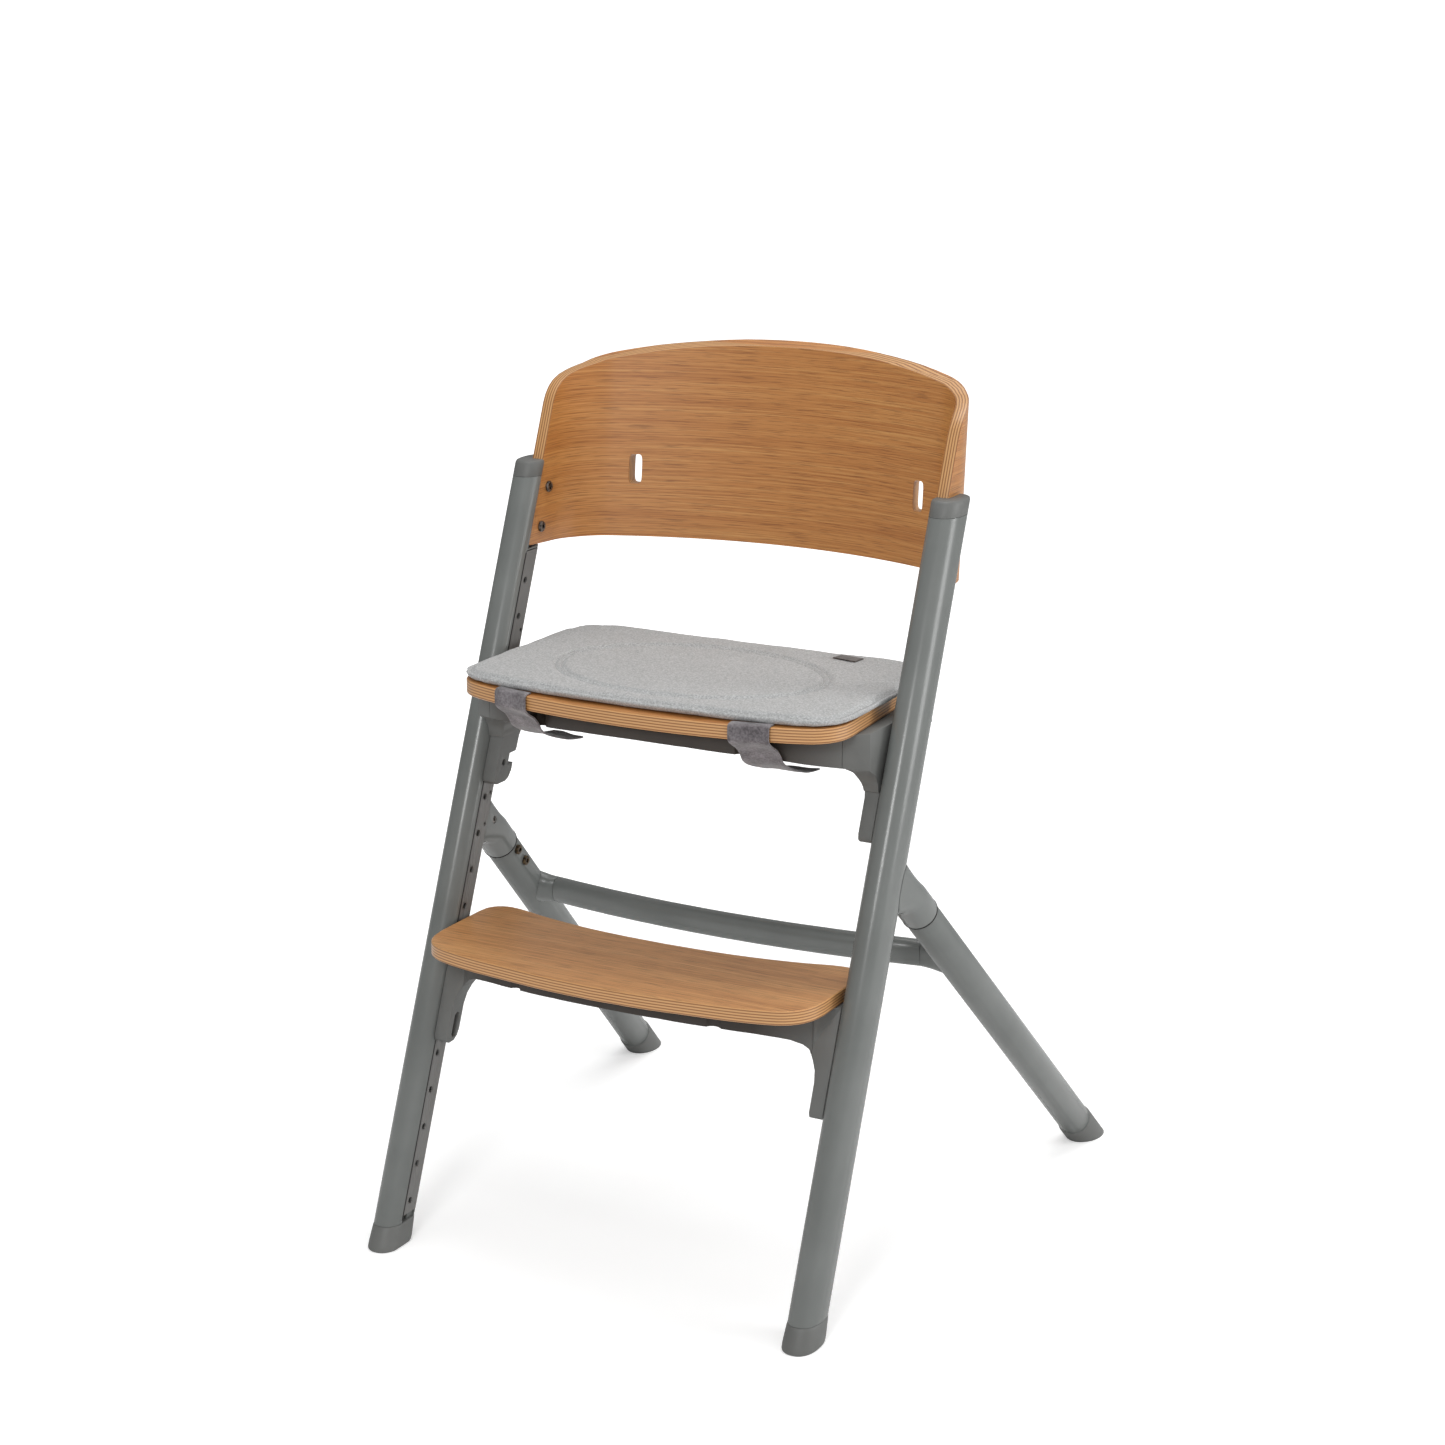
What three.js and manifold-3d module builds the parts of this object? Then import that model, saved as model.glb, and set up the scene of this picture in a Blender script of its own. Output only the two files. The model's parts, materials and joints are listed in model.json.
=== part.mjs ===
// Baby high chair with a bent-ply backrest, height-adjustable seat and footrest.
// Millimetres, +Z up, +Y towards the back of the chair, X across it.
// Every right-hand piece is drawn at +X and mirrored for the left-hand side.

import * as THREE from 'three';
import { mergeVertices } from 'three/addons/utils/BufferGeometryUtils.js';
import Module from 'manifold-3d';

const wasm = await Module();
wasm.setup();

// ---- driving dimensions ----------------------------------------------------

const GAP = 0.3;                 // air between touching pieces

// front legs: leaning oval tubes, cut level at both ends
const LEG_X = 224.4;             // centre of the tube from the middle of the chair
const LEG_SLOPE = 0.4003;        // backward run per unit of height
const LEG_HALF_WIDTH = 15.5;
const LEG_HALF_DEPTH = 23.7;     // measured level, along Y
const LEG_OVAL_POWER = 2.35;
const LEG_WALL = 2.4;
const LEG_FACE_INSET = 14.4;     // flat inner side from the centre of the tube
const LEG_INNER_FACE = LEG_X - LEG_FACE_INSET;
const LEG_BOTTOM = 23.5;
const LEG_TOP = 710;
const CAP_HEIGHT = 15;
const CAP_TOP = LEG_TOP + CAP_HEIGHT;

// perforated rail let into the inner side of each front leg
const RAIL_FRONT = -7;           // from the leg's centre line, along Y
const RAIL_REAR = 13;
const RAIL_GROOVE_GAP = 0.8;
const RAIL_THICKNESS = 2.6;
const RAIL_BOTTOM = 30;
const STATED_LEG_TOP = 710;      // leg top for which the backrest's places are stated
const BACK_RISE = LEG_TOP - STATED_LEG_TOP;
const BACK_RUN = LEG_SLOPE * BACK_RISE;
const BACK_BOTTOM = 640 + BACK_RISE;
const RAIL_TOP = BACK_BOTTOM - 1;
const HOLE_RADIUS = 3.2;
const HOLE_PITCH = 33.5;         // level to level
const HOLE_FIRST = 41.7;
const HOLE_COUNT = 18;

// rear legs: round tubes that spread slightly
const REAR_TOP_OUT = 0.3;        // sideways from the front leg
const REAR_FOOT_OUT = 43.9;
const REAR_TOP = new THREE.Vector3(LEG_X + REAR_TOP_OUT, 161.6, 403.7);
const REAR_FOOT = new THREE.Vector3(LEG_X + REAR_FOOT_OUT, 572.9, 0);
const REAR_RADIUS = 17;
const REAR_WALL = 2.2;
const COLLAR_RADIUS = 17.9;
const COLLAR_END = 84;           // distances along the rear leg from REAR_TOP
const SPIGOT_END = 128;
const REAR_TUBE_END = 541;
const REAR_FOOT_RADIUS = 18.2;

// crossbar between the rear legs, bowed forwards
const BAR_HEIGHT = 280;
const BAR_MIDDLE_Y = 270;
const BAR_END_Y = 288;
const BAR_END_INSET = 20.4;      // from the middle of the front leg
const BAR_END_X = LEG_X - BAR_END_INSET;
const BAR_HALF_HEIGHT = 13;
const BAR_HALF_DEPTH = 9;

// bent-ply backrest
const PLY = 12;
const BACK_IN_NOTCH = 2;         // wings from the inner face of the legs
const BACK_HALF_WIDTH = LEG_INNER_FACE + BACK_IN_NOTCH;
const BACK_LEAN = THREE.MathUtils.degToRad(5);
const BACK_LEVEL = 707 + BACK_RISE; // height at which the plan curve is stated
const BACK_MIDDLE_Y = 397 + BACK_RUN;
const CORNER_RADIUS = 62;
const CORNER_X = BACK_HALF_WIDTH - CORNER_RADIUS;
const CORNER_Y = 303 + BACK_RUN;
const WING_FRONT = -5.6;         // front edge of the wings from the leg line
const BACK_TOP = 840 + BACK_RISE;
const SLOT_X = 155.3;
const SLOT_WIDTH = 12.3;
const SLOT_HEIGHT = 29.5;

// seat and footrest boards
const SEAT_UNDERSIDE = 530;
const SEAT_THICKNESS = 14;
const FOOTREST_UNDERSIDE = 286.5;
const FOOTREST_THICKNESS = 13.5;
const BRACKET_WIDTH = 14;
const BRACKET_INNER = LEG_INNER_FACE - BRACKET_WIDTH;
const BRACKET_OUTER = LEG_INNER_FACE - GAP;
const SEAT_PIN_HOLE = 12;        // counted from the lowest hole in the rail
const FOOTREST_PIN_HOLE = 5;
const PIN_RADIUS = 2.9;
const PIN_LENGTH = 10;

// seat cushion, straps and tag
const CUSHION_THICKNESS = 8;
const STRAP_X = 125;
const STRAP_WIDTH = 38;
const STRAP_THICKNESS = 1.6;

// ---- materials ---------------------------------------------------------------

const material = (color, roughness, metalness = 0) =>
  new THREE.MeshStandardMaterial({ color, roughness, metalness });

const LOOKS = {
  legPaint: material('#7f8382', 0.45, 0.35),
  railMetal: material('#7c7b7a', 0.42, 0.4),
  greyPlastic: material('#6a6b6a', 0.6),
  darkPlastic: material('#5a5856', 0.6),
  oakPly: material('#b5804f', 0.5),
  fabric: material('#a9abaa', 0.95),
  webbing: material('#8f878c', 0.9),
  steel: material('#8b8a88', 0.35, 0.9),
  brass: material('#6d5a42', 0.4, 0.8),
  tagCloth: material('#4d423a', 0.85),
};

// ---- geometry helpers --------------------------------------------------------

// three.js geometry to a manifold solid
function solid(geometry) {
  const bare = geometry.clone();
  bare.deleteAttribute('normal');
  bare.deleteAttribute('uv');
  const merged = mergeVertices(bare, 1e-4);
  const vertProperties = new Float32Array(merged.attributes.position.array);
  const triVerts = new Uint32Array(merged.index.array);
  return new wasm.Manifold(new wasm.Mesh({ numProp: 3, vertProperties, triVerts }));
}

// manifold solid back to a three.js geometry
function geometryOf(body) {
  const mesh = body.getMesh();
  const positions = [];
  for (let i = 0; i < mesh.vertProperties.length; i += mesh.numProp) {
    positions.push(...mesh.vertProperties.slice(i, i + 3));
  }
  const geometry = new THREE.BufferGeometry();
  geometry.setAttribute('position', new THREE.Float32BufferAttribute(positions, 3));
  geometry.setIndex(Array.from(mesh.triVerts));
  geometry.computeVertexNormals();
  return geometry;
}

// upright prism from a plan outline
function prism(outline, bottom, top, holes = []) {
  const shape = new THREE.Shape(outline.map(([x, y]) => new THREE.Vector2(x, y)));
  for (const hole of holes) {
    shape.holes.push(new THREE.Path(hole.map(([x, y]) => new THREE.Vector2(x, y))));
  }
  const geometry = new THREE.ExtrudeGeometry(shape, { depth: top - bottom, bevelEnabled: false });
  return geometry.translate(0, 0, bottom);
}

// upright prism with a small rounded edge top and bottom
function board(outline, bottom, thickness, edge) {
  const shape = new THREE.Shape(outline.map(([x, y]) => new THREE.Vector2(x, y)));
  const geometry = new THREE.ExtrudeGeometry(shape, {
    depth: thickness - 2 * edge,
    bevelThickness: edge,
    bevelSize: edge,
    bevelOffset: -edge,
    bevelSegments: 1,
  });
  return geometry.translate(0, 0, bottom + edge);
}

// prism along X from a side outline of [y, z] points
function sidePrism(outline, fromX, toX, edge = 0) {
  const shape = new THREE.Shape(outline.map(([y, z]) => new THREE.Vector2(y, z)));
  const geometry = new THREE.ExtrudeGeometry(shape, {
    depth: toX - fromX - 2 * edge,
    bevelEnabled: edge > 0,
    bevelThickness: edge,
    bevelSize: edge,
    bevelOffset: -edge,
    bevelSegments: 2,
  });
  geometry.translate(0, 0, edge);
  const turn = new THREE.Matrix4().set(
    0, 0, 1, fromX,
    1, 0, 0, 0,
    0, 1, 0, 0,
    0, 0, 0, 1,
  );
  return geometry.applyMatrix4(turn);
}

// lean a shape back with the front legs
function lean(geometry) {
  const shear = new THREE.Matrix4().set(
    1, 0, 0, 0,
    0, 1, LEG_SLOPE, 0,
    0, 0, 1, 0,
    0, 0, 0, 1,
  );
  return geometry.applyMatrix4(shear);
}

// closed skin through rings of equal point counts, with fan ends
function loft(rings) {
  const count = rings[0].length;
  const positions = rings.flat().flatMap((p) => [p.x, p.y, p.z]);
  const index = [];
  for (let r = 0; r < rings.length - 1; r += 1) {
    for (let i = 0; i < count; i += 1) {
      const a = r * count + i;
      const b = r * count + ((i + 1) % count);
      index.push(a, b, a + count, b, b + count, a + count);
    }
  }
  for (const last of [false, true]) {
    const ring = last ? rings[rings.length - 1] : rings[0];
    const start = last ? (rings.length - 1) * count : 0;
    const middle = ring.reduce((sum, p) => sum.add(p), new THREE.Vector3()).divideScalar(count);
    const hub = positions.length / 3;
    positions.push(middle.x, middle.y, middle.z);
    for (let i = 0; i < count; i += 1) {
      const a = start + i;
      const b = start + ((i + 1) % count);
      index.push(...(last ? [a, b, hub] : [b, a, hub]));
    }
  }
  const geometry = new THREE.BufferGeometry();
  geometry.setAttribute('position', new THREE.Float32BufferAttribute(positions, 3));
  geometry.setIndex(index);
  return outward(geometry);
}

// signed volume, used to turn skins the right way out
function volumeOf(geometry) {
  const p = geometry.attributes.position;
  const index = geometry.index;
  const a = new THREE.Vector3();
  const b = new THREE.Vector3();
  const c = new THREE.Vector3();
  let volume = 0;
  for (let i = 0; i < index.count; i += 3) {
    a.fromBufferAttribute(p, index.getX(i));
    b.fromBufferAttribute(p, index.getX(i + 1));
    c.fromBufferAttribute(p, index.getX(i + 2));
    volume += a.dot(b.cross(c)) / 6;
  }
  return volume;
}

function flipped(geometry) {
  const index = geometry.index.array;
  for (let i = 0; i < index.length; i += 3) {
    [index[i], index[i + 1]] = [index[i + 1], index[i]];
  }
  return geometry;
}

function outward(geometry) {
  if (volumeOf(geometry) < 0) flipped(geometry);
  geometry.computeVertexNormals();
  return geometry;
}

// the same piece for the other side of the chair
function mirrored(geometry) {
  const copy = geometry.index ? geometry.clone() : mergeVertices(geometry);
  copy.scale(-1, 1, 1);
  return outward(copy);
}

// points of an oval; power 2 is an ellipse, more is squarer
function oval(halfX, halfY, power, count) {
  const points = [];
  for (let i = 0; i < count; i += 1) {
    const angle = (2 * Math.PI * i) / count;
    const c = Math.cos(angle);
    const s = Math.sin(angle);
    points.push([
      halfX * Math.sign(c) * Math.abs(c) ** (2 / power),
      halfY * Math.sign(s) * Math.abs(s) ** (2 / power),
    ]);
  }
  return points;
}

// ring of points around a centre, in the plane of two unit directions
function ring(centre, across, up, halfAcross, halfUp, power = 2, count = 28) {
  return oval(halfAcross, halfUp, power, count).map(([u, v]) =>
    centre.clone().addScaledVector(across, u).addScaledVector(up, v));
}

// round bar between two points
function bar(from, to, radius, count = 24) {
  const along = to.clone().sub(from);
  const length = along.length();
  const geometry = new THREE.CylinderGeometry(radius, radius, length, count);
  const turn = new THREE.Quaternion().setFromUnitVectors(
    new THREE.Vector3(0, 1, 0), along.normalize());
  geometry.applyQuaternion(turn);
  const middle = from.clone().add(to).multiplyScalar(0.5);
  return geometry.translate(middle.x, middle.y, middle.z);
}

// turned piece: [radius, distance] profile along a direction from a point
function turned(profile, from, direction, count = 20) {
  const points = profile.map(([r, d]) => new THREE.Vector2(r, d));
  const geometry = new THREE.LatheGeometry(points, count);
  geometry.applyQuaternion(new THREE.Quaternion().setFromUnitVectors(
    new THREE.Vector3(0, 1, 0), direction.clone().normalize()));
  geometry.translate(from.x, from.y, from.z);
  return outward(mergeVertices(bareOf(geometry), 1e-4));
}

function bareOf(geometry) {
  geometry.deleteAttribute('normal');
  geometry.deleteAttribute('uv');
  return geometry;
}

const legY = (height, offset = 0) => LEG_SLOPE * height + offset;
const holeHeight = (n) => HOLE_FIRST + HOLE_PITCH * n;
const acrossX = new THREE.Vector3(1, 0, 0);

// ---- group and placing -------------------------------------------------------

const chair = new THREE.Group();

function place(name, geometry, look) {
  const mesh = new THREE.Mesh(geometry, look);
  mesh.name = name;
  chair.add(mesh);
}

function placePair(name, geometry, look) {
  place(`${name}_right`, geometry, look);
  place(`${name}_left`, mirrored(geometry), look);
}

// ---- front legs --------------------------------------------------------------

// oval with its inner side flattened, in leg coordinates (outwards is +x)
function legOutline(grow = 0, count = 56) {
  const flat = LEG_INNER_FACE - LEG_X - grow;
  return oval(LEG_HALF_WIDTH + grow, LEG_HALF_DEPTH + grow, LEG_OVAL_POWER, count)
    .map(([x, y]) => [LEG_X + Math.max(x, flat), y]);
}

const grooveFront = RAIL_FRONT - RAIL_GROOVE_GAP;
const grooveRear = RAIL_REAR + GAP;
const grooveFloor = LEG_INNER_FACE + RAIL_THICKNESS + GAP;
const webInner = grooveFloor + LEG_WALL;

// wing of the backrest sits in a notch behind this line
const notch = [
  [LEG_INNER_FACE - 4, WING_FRONT - GAP],
  [BACK_HALF_WIDTH + PLY + GAP, WING_FRONT - GAP],
  [BACK_HALF_WIDTH + PLY + GAP, LEG_HALF_DEPTH + 8],
  [LEG_INNER_FACE - 4, LEG_HALF_DEPTH + 8],
];
const notchBottom = BACK_BOTTOM + 1.2;
const notchTool = solid(lean(prism(notch, notchBottom, CAP_TOP + 5)));

function frontLeg() {
  const outer = solid(lean(prism(legOutline(), LEG_BOTTOM, LEG_TOP)));
  const boreOutline = oval(LEG_HALF_WIDTH - LEG_WALL, LEG_HALF_DEPTH - LEG_WALL, LEG_OVAL_POWER, 40)
    .map(([x, y]) => [Math.max(LEG_X + x, webInner), y]);
  const bore = solid(lean(prism(boreOutline, LEG_BOTTOM - 5, LEG_TOP + 5)));
  const groove = solid(lean(prism([
    [LEG_INNER_FACE - 5, grooveFront],
    [grooveFloor, grooveFront],
    [grooveFloor, grooveRear],
    [LEG_INNER_FACE - 5, grooveRear],
  ], LEG_BOTTOM - 5, RAIL_TOP + 1)));
  const pinSlot = solid(lean(prism([
    [LEG_INNER_FACE - 5, -PIN_RADIUS - 0.8],
    [webInner + 1, -PIN_RADIUS - 0.8],
    [webInner + 1, PIN_RADIUS + 0.8],
    [LEG_INNER_FACE - 5, PIN_RADIUS + 0.8],
  ], LEG_BOTTOM - 5, RAIL_TOP - 8)));
  return outer.subtract(bore).subtract(groove).subtract(pinSlot).subtract(notchTool);
}

placePair('front_leg', geometryOf(frontLeg()), LOOKS.legPaint);

// perforated rail with its small fixing screws
const railScrewHeights = [383, 412, 563];
const RAIL_SCREW_OFFSET = 9.3;
const RAIL_SCREW_RADIUS = 1.9;

function rail() {
  let strip = solid(lean(prism([
    [LEG_INNER_FACE, RAIL_FRONT],
    [LEG_INNER_FACE + RAIL_THICKNESS, RAIL_FRONT],
    [LEG_INNER_FACE + RAIL_THICKNESS, RAIL_REAR],
    [LEG_INNER_FACE, RAIL_REAR],
  ], RAIL_BOTTOM, RAIL_TOP)));
  const drill = (height, offset, radius, count) => {
    const from = new THREE.Vector3(LEG_INNER_FACE - 3, legY(height, offset), height);
    const to = from.clone().setX(LEG_INNER_FACE + RAIL_THICKNESS + 3);
    strip = strip.subtract(solid(bar(from, to, radius, count)));
  };
  for (let n = 0; n < HOLE_COUNT; n += 1) drill(holeHeight(n), 0, HOLE_RADIUS, 10);
  for (const height of railScrewHeights) {
    drill(height, RAIL_SCREW_OFFSET, RAIL_SCREW_RADIUS + GAP, 8);
  }
  return strip;
}

placePair('rail', geometryOf(rail()), LOOKS.railMetal);

const railScrewNames = ['rail_screw_low', 'rail_screw_mid', 'rail_screw_high'];
railScrewHeights.forEach((height, i) => {
  const from = new THREE.Vector3(LEG_INNER_FACE + 0.7, legY(height, RAIL_SCREW_OFFSET), height);
  const profile = [
    [0, 0], [RAIL_SCREW_RADIUS - 0.3, 0], [RAIL_SCREW_RADIUS, 0.3],
    [RAIL_SCREW_RADIUS, RAIL_THICKNESS - 0.8], [0, RAIL_THICKNESS - 0.8],
  ];
  placePair(railScrewNames[i], turned(profile, from, acrossX, 8), LOOKS.steel);
});

// level cap with a rounded arris and a plug
function legCap() {
  const steps = [[LEG_TOP + GAP, 0], [CAP_TOP - 2.6, 0], [CAP_TOP - 0.8, -0.7], [CAP_TOP, -2.4]];
  const rings = steps.map(([z, grow]) =>
    legOutline(grow).map(([x, y]) => new THREE.Vector3(x, legY(z, y), z)));
  const plugOutline = oval(LEG_HALF_WIDTH - LEG_WALL - GAP, LEG_HALF_DEPTH - LEG_WALL - GAP,
    LEG_OVAL_POWER, 32).map(([x, y]) => [Math.max(LEG_X + x, webInner + GAP), y]);
  const plug = solid(lean(prism(plugOutline, LEG_TOP - 9, LEG_TOP + 2)));
  const keep = solid(lean(prism([
    [LEG_X - 30, -40], [LEG_X + 30, -40], [LEG_X + 30, 40], [LEG_X - 30, 40],
  ], LEG_TOP - 20, CAP_TOP + 2)));
  return solid(loft(rings)).add(plug).intersect(keep).subtract(notchTool);
}

placePair('leg_cap', geometryOf(legCap()), LOOKS.greyPlastic);

// front foot: slightly proud sleeve under the tube, with a plug
function frontFoot() {
  const steps = [[0, 0], [1.6, 1.3], [6, 1.4], [20, 0.5], [LEG_BOTTOM - GAP, 0]];
  const rings = steps.map(([z, grow]) =>
    legOutline(grow).map(([x, y]) => new THREE.Vector3(x, legY(z, y), z)));
  const plugOutline = oval(LEG_HALF_WIDTH - LEG_WALL - GAP, LEG_HALF_DEPTH - LEG_WALL - GAP,
    LEG_OVAL_POWER, 32).map(([x, y]) => [Math.max(LEG_X + x, webInner + GAP), y]);
  const plug = solid(lean(prism(plugOutline, LEG_BOTTOM - 3, LEG_BOTTOM + 16)));
  return solid(loft(rings)).add(plug);
}

placePair('front_foot', geometryOf(frontFoot()), LOOKS.greyPlastic);

// ---- rear legs ---------------------------------------------------------------

const rearDirection = REAR_FOOT.clone().sub(REAR_TOP).normalize();
const onRearLeg = (distance) => REAR_TOP.clone().addScaledVector(rearDirection, distance);
const rearUp = new THREE.Vector3().crossVectors(acrossX, rearDirection).normalize();
const rearAcross = new THREE.Vector3().crossVectors(rearDirection, rearUp).normalize();
const legDirection = new THREE.Vector3(0, LEG_SLOPE, 1).normalize();

// two socket bolts lock the tube on its spigot, from the inner side
const spigotBolts = [93, 116];
const SPIGOT_BOLT_RADIUS = 3;
const SPIGOT_BOLT_HEAD = 5;
const boltSide = rearAcross.clone().multiplyScalar(rearAcross.x > 0 ? -1 : 1);

function rearTube() {
  const outer = solid(bar(onRearLeg(COLLAR_END + GAP), onRearLeg(REAR_TUBE_END), REAR_RADIUS, 40));
  const bore = solid(bar(onRearLeg(COLLAR_END - 5), onRearLeg(REAR_TUBE_END + 5),
    REAR_RADIUS - REAR_WALL, 32));
  let tube = outer.subtract(bore);
  for (const distance of spigotBolts) {
    const from = onRearLeg(distance);
    const to = from.clone().addScaledVector(boltSide, REAR_RADIUS + 4);
    tube = tube.subtract(solid(bar(from, to, SPIGOT_BOLT_RADIUS + GAP, 16)));
  }
  return tube;
}

placePair('rear_leg', geometryOf(rearTube()), LOOKS.legPaint);

spigotBolts.forEach((distance, i) => {
  const from = onRearLeg(distance).addScaledVector(boltSide, REAR_RADIUS - REAR_WALL - 5);
  const start = REAR_WALL + 5 + GAP;
  const profile = [
    [0, 0], [SPIGOT_BOLT_RADIUS, 0], [SPIGOT_BOLT_RADIUS, start],
    [SPIGOT_BOLT_HEAD, start], [SPIGOT_BOLT_HEAD, start + 1.6], [SPIGOT_BOLT_HEAD - 0.8, start + 2.2],
    [2, start + 2.2], [2, start - 0.4], [0, start - 0.4],
  ];
  placePair(i === 0 ? 'spigot_bolt_upper' : 'spigot_bolt_lower',
    turned(profile, from, boltSide, 12), LOOKS.brass);
});

// casting that wraps the back of the front leg and carries the rear leg
const WEB_HALF_HEIGHT = 34;
const WEB_HALF_WIDTH = 14.6;
const WEB_CENTRE_HEIGHT = 391;
const WEB_END = 56;

const castingScrewAt = new THREE.Vector3(210.6, 181.5, 382);
const CASTING_SCREW_RADIUS = 3.6;

function legJoint() {
  const start = new THREE.Vector3(LEG_X, legY(WEB_CENTRE_HEIGHT), WEB_CENTRE_HEIGHT);
  const end = onRearLeg(WEB_END);
  const rings = [];
  const steps = 8;
  for (let i = 0; i <= steps; i += 1) {
    const t = i / steps;
    const up = legDirection.clone().lerp(rearUp, t).normalize();
    const across = acrossX.clone().lerp(rearAcross, t).normalize();
    const shrink = (1 - t) ** 1.8;
    rings.push(ring(start.clone().lerp(end, t), across, up,
      COLLAR_RADIUS + (WEB_HALF_WIDTH - COLLAR_RADIUS) * (1 - t),
      COLLAR_RADIUS + (WEB_HALF_HEIGHT - COLLAR_RADIUS) * shrink,
      2 + 1.2 * (1 - t), 28));
  }
  rings.push(ring(onRearLeg(COLLAR_END - 1), rearAcross, rearUp, COLLAR_RADIUS, COLLAR_RADIUS, 2, 28));
  rings.push(ring(onRearLeg(COLLAR_END), rearAcross, rearUp,
    COLLAR_RADIUS - 0.8, COLLAR_RADIUS - 0.8, 2, 28));
  const spigot = solid(bar(onRearLeg(COLLAR_END - 4), onRearLeg(SPIGOT_END),
    REAR_RADIUS - REAR_WALL - GAP, 32));
  const legRoom = solid(lean(prism(legOutline(GAP), WEB_CENTRE_HEIGHT - 90, WEB_CENTRE_HEIGHT + 90)));
  const inside = solid(new THREE.BoxGeometry(60, 400, 400)
    .translate(LEG_INNER_FACE + GAP + 30, 200, 380));
  const railRoom = solid(lean(prism([
    [LEG_INNER_FACE - 5, RAIL_FRONT],
    [grooveFloor, RAIL_FRONT],
    [grooveFloor, grooveRear],
    [LEG_INNER_FACE - 5, grooveRear],
  ], WEB_CENTRE_HEIGHT - 90, WEB_CENTRE_HEIGHT + 90)));
  let casting = solid(loft(rings)).subtract(legRoom).subtract(railRoom).intersect(inside).add(spigot);
  for (const distance of spigotBolts) {
    const from = onRearLeg(distance);
    const to = from.clone().addScaledVector(boltSide, REAR_RADIUS + 4);
    casting = casting.subtract(solid(bar(from, to, SPIGOT_BOLT_RADIUS + GAP, 16)));
  }
  const screwRoom = bar(castingScrewAt.clone().setX(200),
    castingScrewAt.clone().setX(castingScrewAt.x + 8), CASTING_SCREW_RADIUS + GAP, 16);
  casting = casting.subtract(solid(screwRoom));
  const pieces = casting.decompose();
  return pieces.reduce((best, piece) => (piece.volume() > best.volume() ? piece : best));
}

placePair('leg_joint', geometryOf(legJoint()), LOOKS.legPaint);

placePair('joint_screw', turned([
  [0, 1.6], [1.5, 1.6], [1.5, 0.4], [CASTING_SCREW_RADIUS - 0.6, 0.4], [CASTING_SCREW_RADIUS, 1],
  [CASTING_SCREW_RADIUS, 7], [0, 7],
], castingScrewAt, acrossX, 12), LOOKS.steel);

// rear foot: round sleeve cut level with the floor
function rearFoot() {
  const rings = [
    ring(onRearLeg(REAR_TUBE_END + GAP), rearAcross, rearUp, REAR_RADIUS + 0.2, REAR_RADIUS + 0.2, 2, 40),
    ring(onRearLeg(REAR_TUBE_END + 2), rearAcross, rearUp, REAR_FOOT_RADIUS, REAR_FOOT_RADIUS, 2, 40),
    ring(onRearLeg(REAR_TUBE_END + 70), rearAcross, rearUp, REAR_FOOT_RADIUS, REAR_FOOT_RADIUS, 2, 40),
  ];
  const plug = solid(bar(onRearLeg(REAR_TUBE_END - 22), onRearLeg(REAR_TUBE_END + 3),
    REAR_RADIUS - REAR_WALL - GAP, 32));
  const aboveFloor = solid(new THREE.BoxGeometry(200, 400, 400).translate(REAR_FOOT.x, REAR_FOOT.y, 200));
  return solid(loft(rings)).add(plug).intersect(aboveFloor);
}

placePair('rear_foot', geometryOf(rearFoot()), LOOKS.greyPlastic);

// ---- crossbar ----------------------------------------------------------------

const barRadius = (BAR_END_X ** 2 + (BAR_END_Y - BAR_MIDDLE_Y) ** 2) / (2 * (BAR_END_Y - BAR_MIDDLE_Y));
const barPoint = (x) => new THREE.Vector3(
  x, BAR_MIDDLE_Y + barRadius - Math.sqrt(barRadius ** 2 - x ** 2), BAR_HEIGHT);
const barAlong = (x) => new THREE.Vector3(Math.sqrt(barRadius ** 2 - x ** 2), x, 0).normalize();
const barAcross = (x) => new THREE.Vector3(-barAlong(x).y, barAlong(x).x, 0);
const zUp = new THREE.Vector3(0, 0, 1);

function crossbar() {
  const rings = [];
  const steps = 12;
  for (let i = 0; i <= steps; i += 1) {
    const x = -BAR_END_X + (2 * BAR_END_X * i) / steps;
    rings.push(ring(barPoint(x), barAcross(x), zUp, BAR_HALF_DEPTH, BAR_HALF_HEIGHT, 2.6, 22));
  }
  return loft(rings);
}

place('crossbar', crossbar(), LOOKS.legPaint);

// saddle between the end of the bar and the rear leg
function barSaddle() {
  const meet = onRearLeg((REAR_TOP.z - BAR_HEIGHT) / -rearDirection.z);
  const start = barPoint(BAR_END_X + GAP);
  const rings = [];
  const steps = 6;
  for (let i = 0; i <= steps; i += 1) {
    const t = i / steps;
    const up = zUp.clone().lerp(rearDirection.clone().negate(), t).normalize();
    const across = barAcross(BAR_END_X).clone().lerp(rearUp, t).normalize();
    rings.push(ring(start.clone().lerp(meet, t), across, up,
      BAR_HALF_DEPTH + (REAR_RADIUS * 0.86 - BAR_HALF_DEPTH) * t ** 1.5,
      BAR_HALF_HEIGHT + 14 * t ** 2, 2.6 - 0.4 * t, 28));
  }
  const tubeRoom = solid(bar(onRearLeg(COLLAR_END), onRearLeg(REAR_TUBE_END), REAR_RADIUS + GAP, 40));
  const pieces = solid(loft(rings)).subtract(tubeRoom).decompose();
  return pieces.reduce((best, piece) => (piece.volume() > best.volume() ? piece : best));
}

placePair('bar_saddle', geometryOf(barSaddle()), LOOKS.legPaint);

// ---- backrest ----------------------------------------------------------------

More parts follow.
